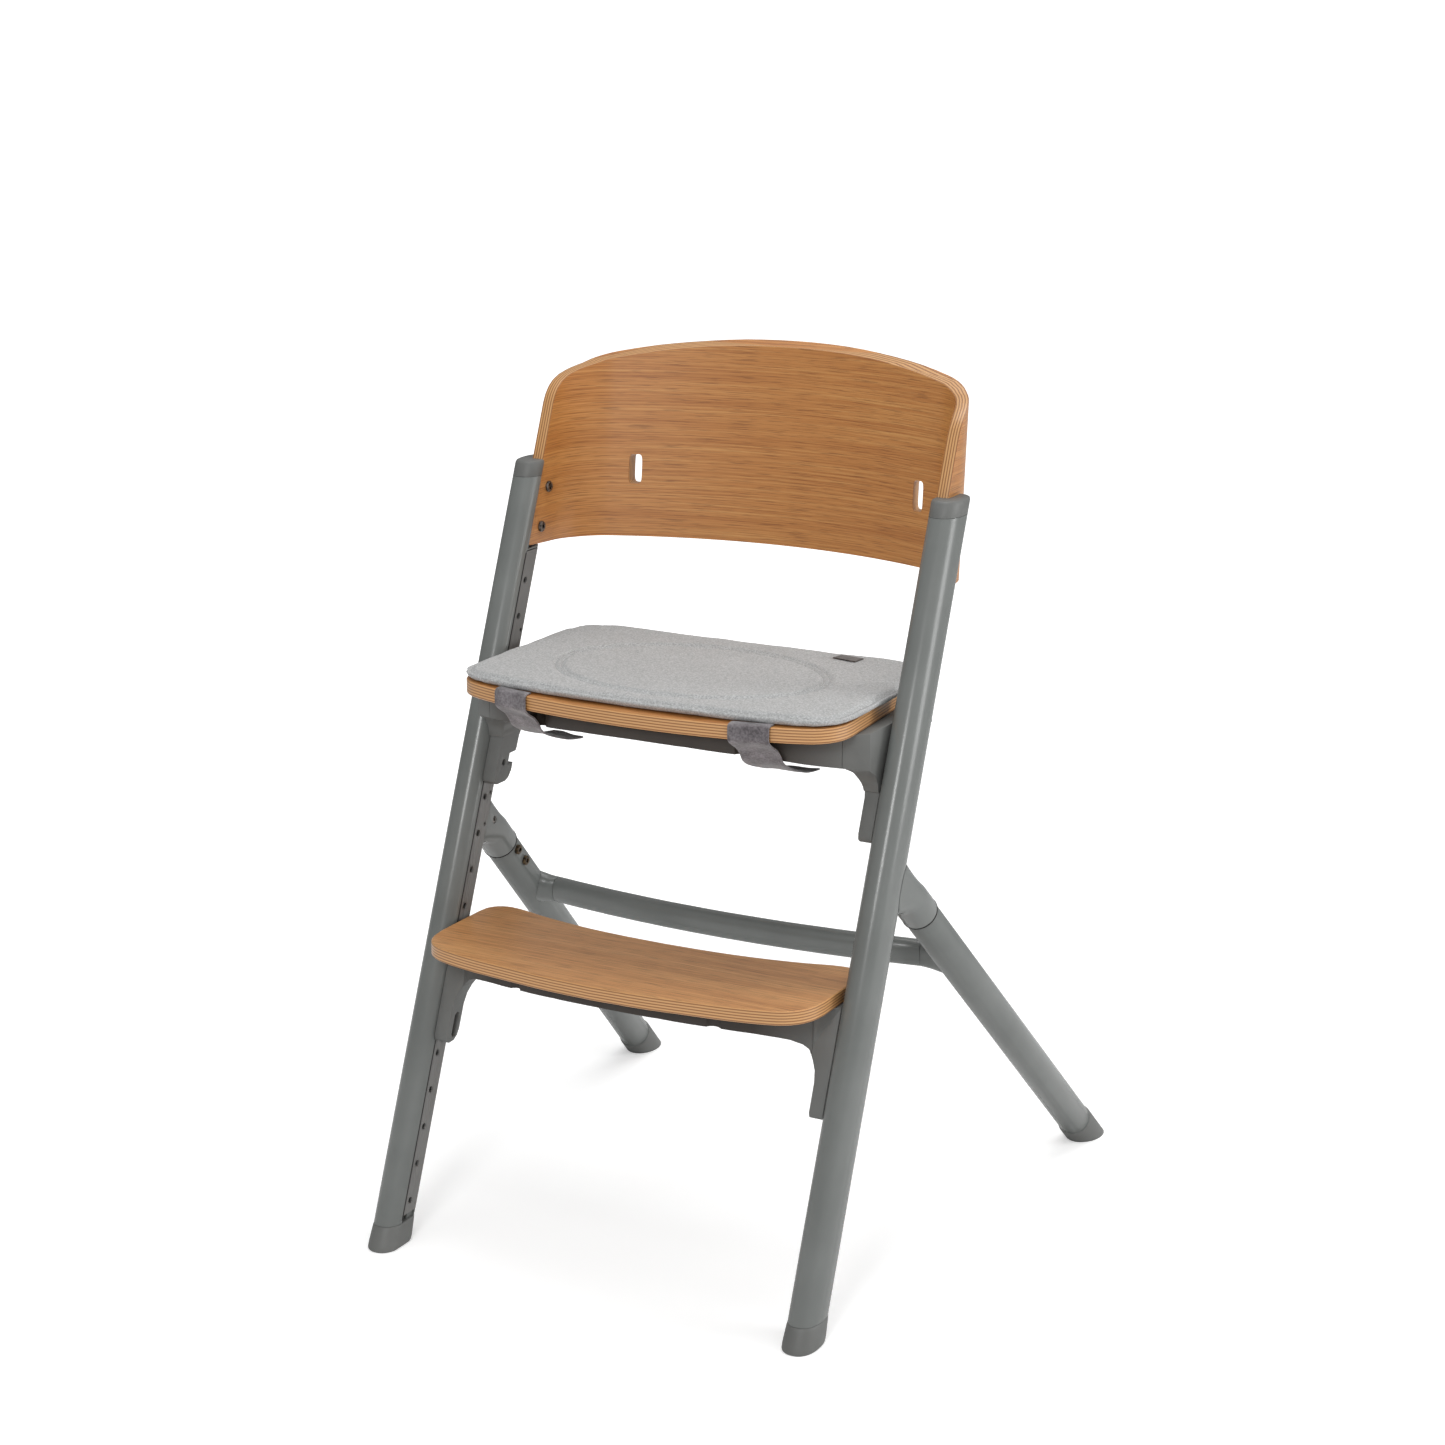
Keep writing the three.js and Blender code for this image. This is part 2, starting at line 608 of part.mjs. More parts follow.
// plan curve of the shell, offset outwards by the given amount
function backCurve(offset) {
  const reach = BACK_MIDDLE_Y - CORNER_Y;
  const middleRadius = (CORNER_X ** 2 + reach ** 2 - CORNER_RADIUS ** 2) / (2 * (reach - CORNER_RADIUS));
  const centreY = BACK_MIDDLE_Y - middleRadius;
  const joinAngle = Math.atan2(CORNER_X, CORNER_Y - centreY);
  const right = [];
  const middleSteps = 10;
  for (let i = 0; i <= middleSteps; i += 1) {
    const angle = (joinAngle * i) / middleSteps;
    const r = middleRadius + offset;
    right.push([r * Math.sin(angle), centreY + r * Math.cos(angle)]);
  }
  const cornerSteps = 12;
  for (let i = 1; i <= cornerSteps; i += 1) {
    const angle = joinAngle + ((Math.PI / 2 - joinAngle) * i) / cornerSteps;
    const r = CORNER_RADIUS + offset;
    right.push([CORNER_X + r * Math.sin(angle), CORNER_Y + r * Math.cos(angle)]);
  }
  right.push([CORNER_X + CORNER_RADIUS + offset, 180 + BACK_RUN]);
  const left = right.slice(1).map(([x, y]) => [-x, y]).reverse();
  return [...left, ...right];
}

// side outline that trims the shell
const backSide = [
  [legY(BACK_BOTTOM + 10, WING_FRONT), BACK_BOTTOM + 10],
  [legY(778 + BACK_RISE, WING_FRONT), 778 + BACK_RISE],
  ...[
    [310, 785.5], [315, 791.5], [322, 797.5], [331, 802.5], [343, 807], [357, 811.5],
    [364, 815], [380, 822], [396, 829], [409, 834], [417, 837.5],
  ].map(([y, z]) => [y + BACK_RUN, z + BACK_RISE]),
  [424 + BACK_RUN, BACK_TOP], [460 + BACK_RUN, BACK_TOP],
  [460 + BACK_RUN, BACK_BOTTOM - 1], [330 + BACK_RUN, BACK_BOTTOM], [290 + BACK_RUN, BACK_BOTTOM + 1.6],
  [legY(BACK_BOTTOM + 3.5, WING_FRONT + 5), BACK_BOTTOM + 3.5],
  [legY(BACK_BOTTOM + 6, WING_FRONT + 1.5), BACK_BOTTOM + 6],
];

const backScrewHeights = [659 + BACK_RISE, 696.5 + BACK_RISE];
const BACK_SCREW_OFFSET = 14.5;
const BACK_SCREW_RADIUS = 2.4;
const BACK_SCREW_HEAD = 5.6;
const BACK_SCREW_HEAD_HEIGHT = 2.4;

function backrest() {
  const plan = [...backCurve(PLY), ...backCurve(0).reverse()];
  const leanBack = new THREE.Matrix4().set(
    1, 0, 0, 0,
    0, 1, Math.tan(BACK_LEAN), -BACK_LEVEL * Math.tan(BACK_LEAN),
    0, 0, 1, 0,
    0, 0, 0, 1,
  );
  const shell = solid(prism(plan, BACK_BOTTOM - 20, BACK_TOP + 20).applyMatrix4(leanBack));
  const trimReach = BACK_HALF_WIDTH + 2 * PLY;
  const trim = solid(sidePrism(backSide, -trimReach, trimReach));
  let body = shell.intersect(trim);
  const slotOutline = oval(SLOT_WIDTH / 2, SLOT_HEIGHT / 2, 5, 28);
  for (const side of [-1, 1]) {
    const slot = solid(prism(slotOutline, -40, 40).rotateX(Math.PI / 2)
      .translate(side * SLOT_X, 370 + BACK_RUN, BACK_LEVEL));
    body = body.subtract(slot);
    for (const height of backScrewHeights) {
      const from = new THREE.Vector3(side * (BACK_HALF_WIDTH - 5), legY(height, BACK_SCREW_OFFSET), height);
      const to = from.clone().setX(side * (BACK_HALF_WIDTH + PLY + 5));
      body = body.subtract(solid(bar(from, to, BACK_SCREW_RADIUS + GAP, 12)));
    }
  }
  return body;
}

place('backrest', geometryOf(backrest()), LOOKS.oakPly);

backScrewHeights.forEach((height, i) => {
  const from = new THREE.Vector3(
    BACK_HALF_WIDTH - GAP - BACK_SCREW_HEAD_HEIGHT, legY(height, BACK_SCREW_OFFSET), height);
  const head = BACK_SCREW_HEAD_HEIGHT;
  const profile = [
    [0, 1], [2, 1], [2, 0], [BACK_SCREW_HEAD - 1.2, 0], [BACK_SCREW_HEAD, 1.1], [BACK_SCREW_HEAD, head],
    [BACK_SCREW_RADIUS, head], [BACK_SCREW_RADIUS, head + PLY + 6], [0, head + PLY + 6],
  ];
  placePair(i === 0 ? 'back_screw_lower' : 'back_screw_upper',
    turned(profile, from, acrossX, 14), LOOKS.steel);
});

// ---- boards ------------------------------------------------------------------

// plan outlines are stated for legs whose inner faces stand this far from the middle
const STATED_FACE = 210;
const widened = (points) => points.map(([x, y]) => [(x * LEG_INNER_FACE) / STATED_FACE, y]);

// plan outline through right-hand points, mirrored to a closed symmetric board
function symmetric(rightPoints) {
  const left = rightPoints.filter(([x]) => x > 0).map(([x, y]) => [-x, y]).reverse();
  return [...left, ...rightPoints];
}

// smooth curve through plan points, as a list of points
function smooth(points, count) {
  const curve = new THREE.CatmullRomCurve3(
    points.map(([x, y]) => new THREE.Vector3(x, y, 0)), false, 'centripetal');
  return curve.getPoints(count).map((p) => [Math.max(p.x, 0), p.y]);
}

const seatFront = [[0, 70], [50, 71.8], [100, 77.5], [142, 86], [168, 93.5], [184, 101], [194, 112],
  [199, 125], [200, 140]];
const seatSide = [[200, 140], [197.5, 180], [193, 240], [188.5, 290]];
const seatRear = [[188.5, 290], [185.5, 312], [176, 326], [160, 332], [100, 335], [0, 336]];

const seatOutline = symmetric(widened([
  ...smooth(seatFront, 20), ...seatSide.slice(1), ...smooth(seatRear, 14).slice(1)]));

place('seat_board', board(seatOutline, SEAT_UNDERSIDE, SEAT_THICKNESS, 1), LOOKS.oakPly);

const footFront = [[0, 9], [50, 11], [100, 16.5], [140, 22], [165, 27.5], [184, 34], [196, 44],
  [203, 57], [206, 75]];
const footSide = [[206, 75], [206, 142]];
const footRear = [[206, 142], [204, 155], [197, 164], [186, 168], [170, 166.5], [140, 158.5], [90, 150],
  [45, 146.2], [0, 145]];

const footrestOutline = symmetric(widened([
  ...smooth(footFront, 20), ...footSide.slice(1), ...smooth(footRear, 20).slice(1)]));

place('footrest_board', board(footrestOutline, FOOTREST_UNDERSIDE, FOOTREST_THICKNESS, 1), LOOKS.oakPly);

// ---- supports: trays under the boards and brackets that slide on the rails ---

const BRACKET_ROOT = 8;          // root of the bracket, inwards of its inner side
const TRAY_SPLIT = BRACKET_INNER - BRACKET_ROOT;
const TRAY_FRONT_RADIUS = 317;
const POCKET_RADIUS = 8;
const POCKET_X = 107.5;
const SCREW_RADIUS = 2.2;
const SKIN = 3.5;                // top skin of a tray

// front view of the arch under a board: [distance from the middle, drop below the board]
const archDrop = widened([
  [0, 15.5], [55, 17], [107, 21.1], [140, 25], [160, 28.4], [170, 30.6], [180, 35], [186, 40.5],
  [190.5, 48], [194, 56], [195.6, 66], [195.8, 130],
]);

// prism along Y from a front outline of [x, z] points
function frontPrism(outline, fromY, toY) {
  const geometry = mergeVertices(bareOf(prism(outline, fromY, toY)), 1e-4);
  const swap = new THREE.Matrix4().set(
    1, 0, 0, 0,
    0, 0, 1, 0,
    0, 1, 0, 0,
    0, 0, 0, 1,
  );
  return outward(geometry.applyMatrix4(swap));
}

// block under a board before its cells are cut: plan, arch and side outlines together
function supportBlock({ underside, plan, side, bracket }) {
  const top = underside - GAP;
  const arch = [
    ...[...archDrop].reverse().map(([x, drop]) => [-x, underside - drop]),
    ...archDrop.slice(1).map(([x, drop]) => [x, underside - drop]),
    [BRACKET_OUTER, underside - 130], [BRACKET_OUTER, top], [-BRACKET_OUTER, top],
    [-BRACKET_OUTER, underside - 130],
  ];
  const tray = solid(prism(plan, underside - 125, top));
  const feet = solid(sidePrism(fromLegLine(bracket), -BRACKET_OUTER, BRACKET_OUTER));
  return tray.intersect(solid(sidePrism(side, -BRACKET_OUTER, BRACKET_OUTER))).add(feet)
    .intersect(solid(frontPrism(arch, -60, 460)));
}

const fromLegLine = (outline) => outline.map(([offset, z]) => [legY(z, offset), z]);
const bothX = (places) => places.flatMap(([x, y]) => [[x, y], [-x, y]]);
const bothSides = (stated) => {
  const cells = stated.map(widened);
  return [...cells, ...cells.map((cell) => cell.map(([x, y]) => [-x, y]).reverse())];
};

// front edge of a tray in plan: an arc from the middle to the side
function trayFront(middleY, sideX) {
  const points = [];
  const steps = 12;
  for (let i = 0; i <= steps; i += 1) {
    const x = (sideX * i) / steps;
    points.push([x, middleY + x ** 2 / (2 * TRAY_FRONT_RADIUS)]);
  }
  return points;
}

const seatSupport = {
  underside: SEAT_UNDERSIDE,
  plan: symmetric([
    ...trayFront(86, BRACKET_OUTER), [BRACKET_OUTER, 290], ...widened([[200, 303], [0, 306]])]),
  side: [
    [60, 530], [60, 517], [86, 514.5], [104, 508], [131, 500.5], [155, 495], [167, 488], [172.5, 478],
    [173.5, 470], [240, 470], [245, 490], [262, 505], [290, 510], [320, 512], [320, 530],
  ],
  bracket: [
    [-12.3, 490], [-12.3, 432.5], [-10.5, 427.5], [-6, 424.5], [9, 424.5], [14, 427], [17, 433],
    [17, 440.4], [8, 440.4], [8, 450.4], [18.5, 450.4], [19.5, 453], [20.5, 478], [30, 500],
    [30, 529.7], [-12.3, 529.7],
  ],
  pin: SEAT_PIN_HOLE,
  pockets: [[POCKET_X, 100]],
  screws: [[POCKET_X, 132], [POCKET_X, 272]],
  cells: bothSides([
    [[5, 98], [90, 108], [5, 182]],
    [[95, 116], [95, 192], [12, 192]],
    [[120, 126], [182, 150], [182, 192], [120, 192]],
    [[5, 200], [95, 200], [95, 294], [5, 294]],
    [[120, 200], [182, 200], [182, 292], [120, 294]],
  ]),
};

const footrestSupport = {
  underside: FOOTREST_UNDERSIDE,
  plan: symmetric([
    ...trayFront(32, BRACKET_OUTER), [BRACKET_OUTER, 150],
    ...widened([[204, 157], [188, 158], [150, 150], [90, 141], [0, 136]])]),
  side: [
    [10, 286.5], [10, 273], [32, 271], [50, 264.5], [72, 257], [79, 251], [81.5, 245], [82, 238],
    [104, 238], [108, 250], [122, 262], [140, 268], [165, 270], [165, 286.5],
  ],
  bracket: [
    [-13, 250], [-13, 195], [-10.5, 190.5], [-6, 188.5], [2, 188.8], [6.4, 192], [8.4, 198],
    [8.8, 238], [12, 250], [12, 286.2], [-13, 286.2],
  ],
  pin: FOOTREST_PIN_HOLE,
  pockets: [[POCKET_X, 46]],
  screws: [[POCKET_X, 76], [POCKET_X, 126]],
  cells: bothSides([
    [[5, 44], [86, 54], [5, 90]],
    [[95, 62], [95, 96], [20, 96]],
    [[120, 70], [182, 96], [182, 102], [120, 100]],
    [[5, 103], [95, 103], [95, 131], [5, 127]],
    [[120, 108], [182, 110], [182, 146], [120, 134]],
  ]),
};

// tray: middle of the block, with hollow cells, front pockets and screw holes
function tray(support) {
  const top = support.underside - GAP;
  const middle = new THREE.BoxGeometry(2 * TRAY_SPLIT - GAP, 500, 100);
  let body = supportBlock(support).intersect(solid(middle.translate(0, 200, support.underside - 40)));
  for (const cell of support.cells) {
    body = body.subtract(solid(prism(cell, top - 60, top - SKIN)));
  }
  for (const [x, y] of bothX(support.pockets)) {
    const scoop = bar(new THREE.Vector3(x, y, top - 60), new THREE.Vector3(x, y, top - 2.5),
      POCKET_RADIUS, 16);
    body = body.subtract(solid(scoop));
  }
  for (const [x, y] of bothX(support.screws)) {
    const hole = bar(new THREE.Vector3(x, y, top - 40), new THREE.Vector3(x, y, top + 2),
      SCREW_RADIUS + GAP, 10);
    const seat = bar(new THREE.Vector3(x, y, top - 40), new THREE.Vector3(x, y, top - SCREW_SEAT),
      SCREW_HEAD + GAP, 14);
    body = body.subtract(solid(hole)).subtract(solid(seat));
  }
  return body;
}

// wood screws up through the tray, with heads sunk in its underside
const SCREW_HEAD = 4.4;
const SCREW_SEAT = 8;
const SCREW_HEAD_HEIGHT = 2.4;

function boardScrews(prefix, support) {
  support.screws.forEach(([x, y], i) => {
    const from = new THREE.Vector3(x, y, support.underside - GAP - SCREW_SEAT - GAP - SCREW_HEAD_HEIGHT);
    const shank = SCREW_HEAD_HEIGHT + GAP + SCREW_SEAT - 0.2;
    const profile = [
      [0, 1], [1.6, 1], [1.6, 0], [SCREW_HEAD - 1, 0], [SCREW_HEAD, 1], [SCREW_HEAD, SCREW_HEAD_HEIGHT],
      [SCREW_RADIUS, SCREW_HEAD_HEIGHT], [SCREW_RADIUS, shank], [0, shank],
    ];
    placePair(`${prefix}_${i === 0 ? 'front' : 'rear'}`, turned(profile, from, zUp, 10), LOOKS.steel);
  });
}

// a pin hole through the bracket, on the centre line of the rail
function pinHole(height) {
  const from = new THREE.Vector3(BRACKET_INNER - 8, legY(height), height);
  return solid(bar(from, from.clone().setX(BRACKET_OUTER + 5), PIN_RADIUS + GAP, 16));
}

function bracket(support) {
  const reach = new THREE.BoxGeometry(100, 500, 300)
    .translate(TRAY_SPLIT + GAP / 2 + 50, 200, support.underside - 100);
  return supportBlock(support).intersect(solid(reach)).subtract(pinHole(holeHeight(support.pin)));
}

// the footrest bracket has a long recess around its pin
const RECESS_DEPTH = 6;
const footRecess = [
  [-4.4, 213], [-1, 215.5], [3, 213.5], [4.6, 209], [4.6, 196], [2.5, 192.6], [-2, 192.6], [-4.4, 196],
];
const recessTool = solid(sidePrism(fromLegLine(footRecess), BRACKET_INNER - 4,
  BRACKET_INNER + RECESS_DEPTH));

place('seat_tray', geometryOf(tray(seatSupport)), LOOKS.darkPlastic);
place('footrest_tray', geometryOf(tray(footrestSupport)), LOOKS.darkPlastic);
placePair('seat_bracket', geometryOf(bracket(seatSupport)), LOOKS.greyPlastic);
placePair('footrest_bracket', geometryOf(bracket(footrestSupport).subtract(recessTool)),
  LOOKS.greyPlastic);
boardScrews('seat_screw', seatSupport);
boardScrews('footrest_screw', footrestSupport);

// lock pins, drawn back: pushed outwards they enter the holes of the rail
function lockPin(height) {
  const from = new THREE.Vector3(BRACKET_OUTER - 0.3 - PIN_LENGTH, legY(height), height);
  const profile = [
    [0, 0], [PIN_RADIUS - 0.5, 0], [PIN_RADIUS, 0.5], [PIN_RADIUS, PIN_LENGTH - 0.8],
    [PIN_RADIUS - 0.8, PIN_LENGTH], [0, PIN_LENGTH],
  ];
  return turned(profile, from, acrossX, 12);
}

placePair('seat_pin', lockPin(holeHeight(SEAT_PIN_HOLE)), LOOKS.steel);
placePair('footrest_pin', lockPin(holeHeight(FOOTREST_PIN_HOLE)), LOOKS.steel);

// ---- cushion, straps and tag -------------------------------------------------

const cushionBottom = SEAT_UNDERSIDE + SEAT_THICKNESS + GAP;
const cushionOutline = symmetric(widened([
  ...smooth([[0, 79], [60, 80], [110, 84], [150, 90], [176, 96], [192, 105], [202, 120], [206, 140]], 20),
  [206, 180], [205, 240],
  ...smooth([[203, 290], [200, 316], [190, 333], [172, 340], [120, 341], [60, 343], [0, 343.5]], 16),
]));

// pillow-edged pad: rings drawn in towards the middle at top and bottom
function cushion() {
  const middle = [0, 210];
  const steps = [[0, -7], [1.6, -2.2], [4.2, 0], [6.6, -2], [CUSHION_THICKNESS, -7.5]];
  const rings = steps.map(([z, inset]) => cushionOutline.map(([x, y]) => {
    const dx = x - middle[0];
    const dy = y - middle[1];
    const reach = Math.hypot(dx, dy);
    const scale = (reach + inset) / reach;
    return new THREE.Vector3(middle[0] + dx * scale, middle[1] + dy * scale, cushionBottom + z);
  }));
  return loft(rings);
}

// strap path in side view, from under the cushion's front over the board to below the tray:
// [distance back from the board's front edge, height over the board's underside]
const BOARD_FRONT_AT_STRAP = 82;
const STRAP_SLANT = 0.2;         // the board's front edge runs back this much per unit of X there
const strapPath = [
  [-1.2, SEAT_THICKNESS - 1.5], [-1.8, 7], [-1.4, 0.5], [6, -4], [14, -9], [21, -16.5], [25, -22.5],
  [32, -27.8], [44, -33], [60, -38.8], [76, -44], [92, -47.5], [104, -49.5],
];

const strapMiddle = widened([[STRAP_X, 0]])[0][0];
const strapSlant = (STRAP_SLANT * STRAP_X) / strapMiddle;

function strap() {
  const inner = strapPath.map(([back, rise]) => [BOARD_FRONT_AT_STRAP + back, SEAT_UNDERSIDE + rise]);
  const outer = inner.map(([y, z], i) => {
    const before = inner[Math.max(i - 1, 0)];
    const after = inner[Math.min(i + 1, inner.length - 1)];
    const length = Math.hypot(after[0] - before[0], after[1] - before[1]);
    return [
      y + (STRAP_THICKNESS * (after[1] - before[1])) / length,
      z - (STRAP_THICKNESS * (after[0] - before[0])) / length,
    ];
  });
  const half = STRAP_WIDTH / 2;
  const flat = sidePrism([...inner, ...outer.reverse()], strapMiddle - half, strapMiddle + half);
  const slant = new THREE.Matrix4().set(
    1, 0, 0, 0,
    strapSlant, 1, 0, -strapSlant * strapMiddle,
    0, 0, 1, 0,
    0, 0, 0, 1,
  );
  return flat.applyMatrix4(slant);
}

place('seat_cushion', cushion(), LOOKS.fabric);
placePair('strap', strap(), LOOKS.webbing);

// blank cloth tag sewn on the rear right of the cushion
const tagBottom = cushionBottom + CUSHION_THICKNESS + GAP;
place('cushion_tag', new THREE.BoxGeometry(26, 15, 0.9).rotateZ(-0.16)
  .translate(112, 309, tagBottom + 0.45), LOOKS.tagCloth);

// ---- origin at the middle of the footprint, on the floor ----------------------

chair.updateMatrixWorld(true);
const box = new THREE.Box3().setFromObject(chair);
const centre = box.getCenter(new THREE.Vector3());
chair.position.set(-centre.x, -centre.y, -box.min.z);

export default chair;
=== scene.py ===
import json
import math

import bmesh
import bpy
from mathutils import Matrix, Vector, noise
from mathutils.bvhtree import BVHTree
from mathutils.kdtree import KDTree


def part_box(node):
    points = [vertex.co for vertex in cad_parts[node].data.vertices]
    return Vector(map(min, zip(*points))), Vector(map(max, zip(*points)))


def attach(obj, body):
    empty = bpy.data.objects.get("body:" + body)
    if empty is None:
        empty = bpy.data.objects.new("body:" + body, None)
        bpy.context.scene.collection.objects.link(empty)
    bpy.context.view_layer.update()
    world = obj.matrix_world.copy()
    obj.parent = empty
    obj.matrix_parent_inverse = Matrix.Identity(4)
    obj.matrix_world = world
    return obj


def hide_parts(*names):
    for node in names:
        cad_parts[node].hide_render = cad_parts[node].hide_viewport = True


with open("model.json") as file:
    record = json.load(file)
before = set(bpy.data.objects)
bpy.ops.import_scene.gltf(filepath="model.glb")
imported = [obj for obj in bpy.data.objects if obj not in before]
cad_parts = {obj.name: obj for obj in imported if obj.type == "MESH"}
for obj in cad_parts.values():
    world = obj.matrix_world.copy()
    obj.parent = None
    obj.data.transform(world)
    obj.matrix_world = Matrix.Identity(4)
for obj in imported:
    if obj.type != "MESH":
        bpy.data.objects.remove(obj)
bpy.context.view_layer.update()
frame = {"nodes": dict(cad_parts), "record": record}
record = frame["record"]
bodyOf = {node: body for body, nodes in record["behaviour"]["bodies"].items() for node in nodes}
slotOf = {part["node"]: part["material_slot"] for part in record["subparts"]}
print("frame loaded:", len(frame["nodes"]), "nodes")

mm = 0.001
designY = -287.26 * mm  # from the middle of the footprint to where the front legs meet the floor
railFaceMm = 210.0      # inner face of each rail from the middle of the chair
railSlope = 0.4003      # backward run of the rails per unit of height
seatLow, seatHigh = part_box("seat_board")
footLow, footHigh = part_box("footrest_board")


# ---- materials

def linear(hexColour):  # sRGB hex to the linear colour that shaders use
    parts = [int(hexColour[i:i + 2], 16) / 255 for i in (1, 3, 5)]
    return tuple(p / 12.92 if p <= 0.04045 else ((p + 0.055) / 1.055) ** 2.4 for p in parts) + (1.0,)


def addNode(tree, kind, inputs=None, **settings):
    node = tree.nodes.new(kind)
    for name, value in settings.items():
        setattr(node, name, value)
    for name, value in (inputs or {}).items():
        if isinstance(value, bpy.types.NodeSocket):
            tree.links.new(value, node.inputs[name])
        else:
            node.inputs[name].default_value = value
    return node


def shifted(hexColour, amount):  # every channel up or down by the same step
    parts = [min(max(int(hexColour[i:i + 2], 16) + amount, 0), 255) for i in (1, 3, 5)]
    return "#{:02x}{:02x}{:02x}".format(*parts)


def newMaterial(name):
    material = bpy.data.materials.new(name)
    material.use_nodes = True
    tree = material.node_tree
    shader = tree.nodes["Principled BSDF"]
    return material, tree, shader


def rampBetween(tree, factor, stops):
    ramp = addNode(tree, "ShaderNodeValToRGB", {"Fac": factor})
    elements = ramp.color_ramp.elements
    while len(elements) < len(stops):
        elements.new(0.5)
    for element, (position, colour) in zip(elements, stops):
        element.position = position
        element.color = linear(colour)
    return ramp.outputs["Color"]


def mixColours(tree, factor, first, second, blend="MIX"):
    node = addNode(tree, "ShaderNodeMix", data_type="RGBA", blend_type=blend)
    for socket, value in ((node.inputs[0], factor), (node.inputs[6], first), (node.inputs[7], second)):
        if isinstance(value, bpy.types.NodeSocket):
            tree.links.new(value, socket)
        else:
            socket.default_value = value
    return node.outputs[2]


def bumpInto(tree, shader, height, strength, distance):
    bump = addNode(tree, "ShaderNodeBump", {
        "Height": height, "Strength": strength, "Distance": distance})
    tree.links.new(bump.outputs["Normal"], shader.inputs["Normal"])


# powder coat baked on aluminium tube: even grey, satin, with a faint orange peel
def powderCoat(name, colour, roughness):
    material, tree, shader = newMaterial(name)
    place = addNode(tree, "ShaderNodeTexCoord").outputs["Object"]
    peel = addNode(tree, "ShaderNodeTexNoise", {"Vector": place, "Scale": 700.0, "Detail": 2.0})
    cloud = addNode(tree, "ShaderNodeTexNoise", {"Vector": place, "Scale": 14.0, "Detail": 3.0})
    deep = shifted(colour, -7)
    tint = rampBetween(tree, cloud.outputs["Fac"], [(0.35, deep), (0.65, colour)])
    tree.links.new(tint, shader.inputs["Base Color"])
    shader.inputs["Roughness"].default_value = roughness
    shader.inputs["IOR"].default_value = 1.5
    bumpInto(tree, shader, peel.outputs["Fac"], 0.12, 0.0002)
    return material


# the dark middle of the under-board mouldings is painted shade; their side colour is the moulding's own
# grey
shadeFadeMm = (140, 188)  # where the under-board mouldings start and stop fading to their side colour


# injection moulded nylon: dark grey with a fine spark-eroded grain
def mouldedPlastic(name, colour, roughness, unshadedSideColour=None):
    material, tree, shader = newMaterial(name)
    place = addNode(tree, "ShaderNodeTexCoord").outputs["Object"]
    grit = addNode(tree, "ShaderNodeTexNoise", {"Vector": place, "Scale": 1100.0, "Detail": 1.0})
    cloud = addNode(tree, "ShaderNodeTexNoise", {"Vector": place, "Scale": 22.0, "Detail": 3.0})
    pale = shifted(colour, 8)
    tint = rampBetween(tree, cloud.outputs["Fac"], [(0.35, colour), (0.68, pale)])
    if unshadedSideColour:  # painted shade under the boards: dark in the middle, fading to the grey of the brackets at each side
        across = addNode(tree, "ShaderNodeSeparateXYZ", {"Vector": place}).outputs["X"]
        across = addNode(tree, "ShaderNodeMath", {0: across}, operation="ABSOLUTE").outputs[0]
        share = addNode(tree, "ShaderNodeMapRange", {
            "Value": across, "From Min": shadeFadeMm[0] * mm, "From Max": shadeFadeMm[1] * mm}).outputs["Result"]
        tint = mixColours(tree, share, tint, linear(unshadedSideColour))
    tree.links.new(tint, shader.inputs["Base Color"])
    shader.inputs["Roughness"].default_value = roughness
    shader.inputs["IOR"].default_value = 1.46
    bumpInto(tree, shader, grit.outputs["Fac"], 0.2, 0.0002)
    return material


# lacquered oak veneer on birch plies; the grain attribute holds along, across and depth in metres
oakValues = {
    "dark": "#a4652f", "middle": "#be8044", "light": "#cf9859", "pore": "#6f3f1c",
    "plyPale": "#c2915d", "plyBrown": "#8d5a32", "plyBright": "#d3a36c", "plyFleck": "#a06c3c",
    "plyMm": 0.67, "roughness": 0.42, "lacquer": 0.35, "lacquerRoughness": 0.3,
    "broadShare": 0.35, "fineShare": 0.65, "poreShare": 0.55, "veneerMm": 0.25,
}
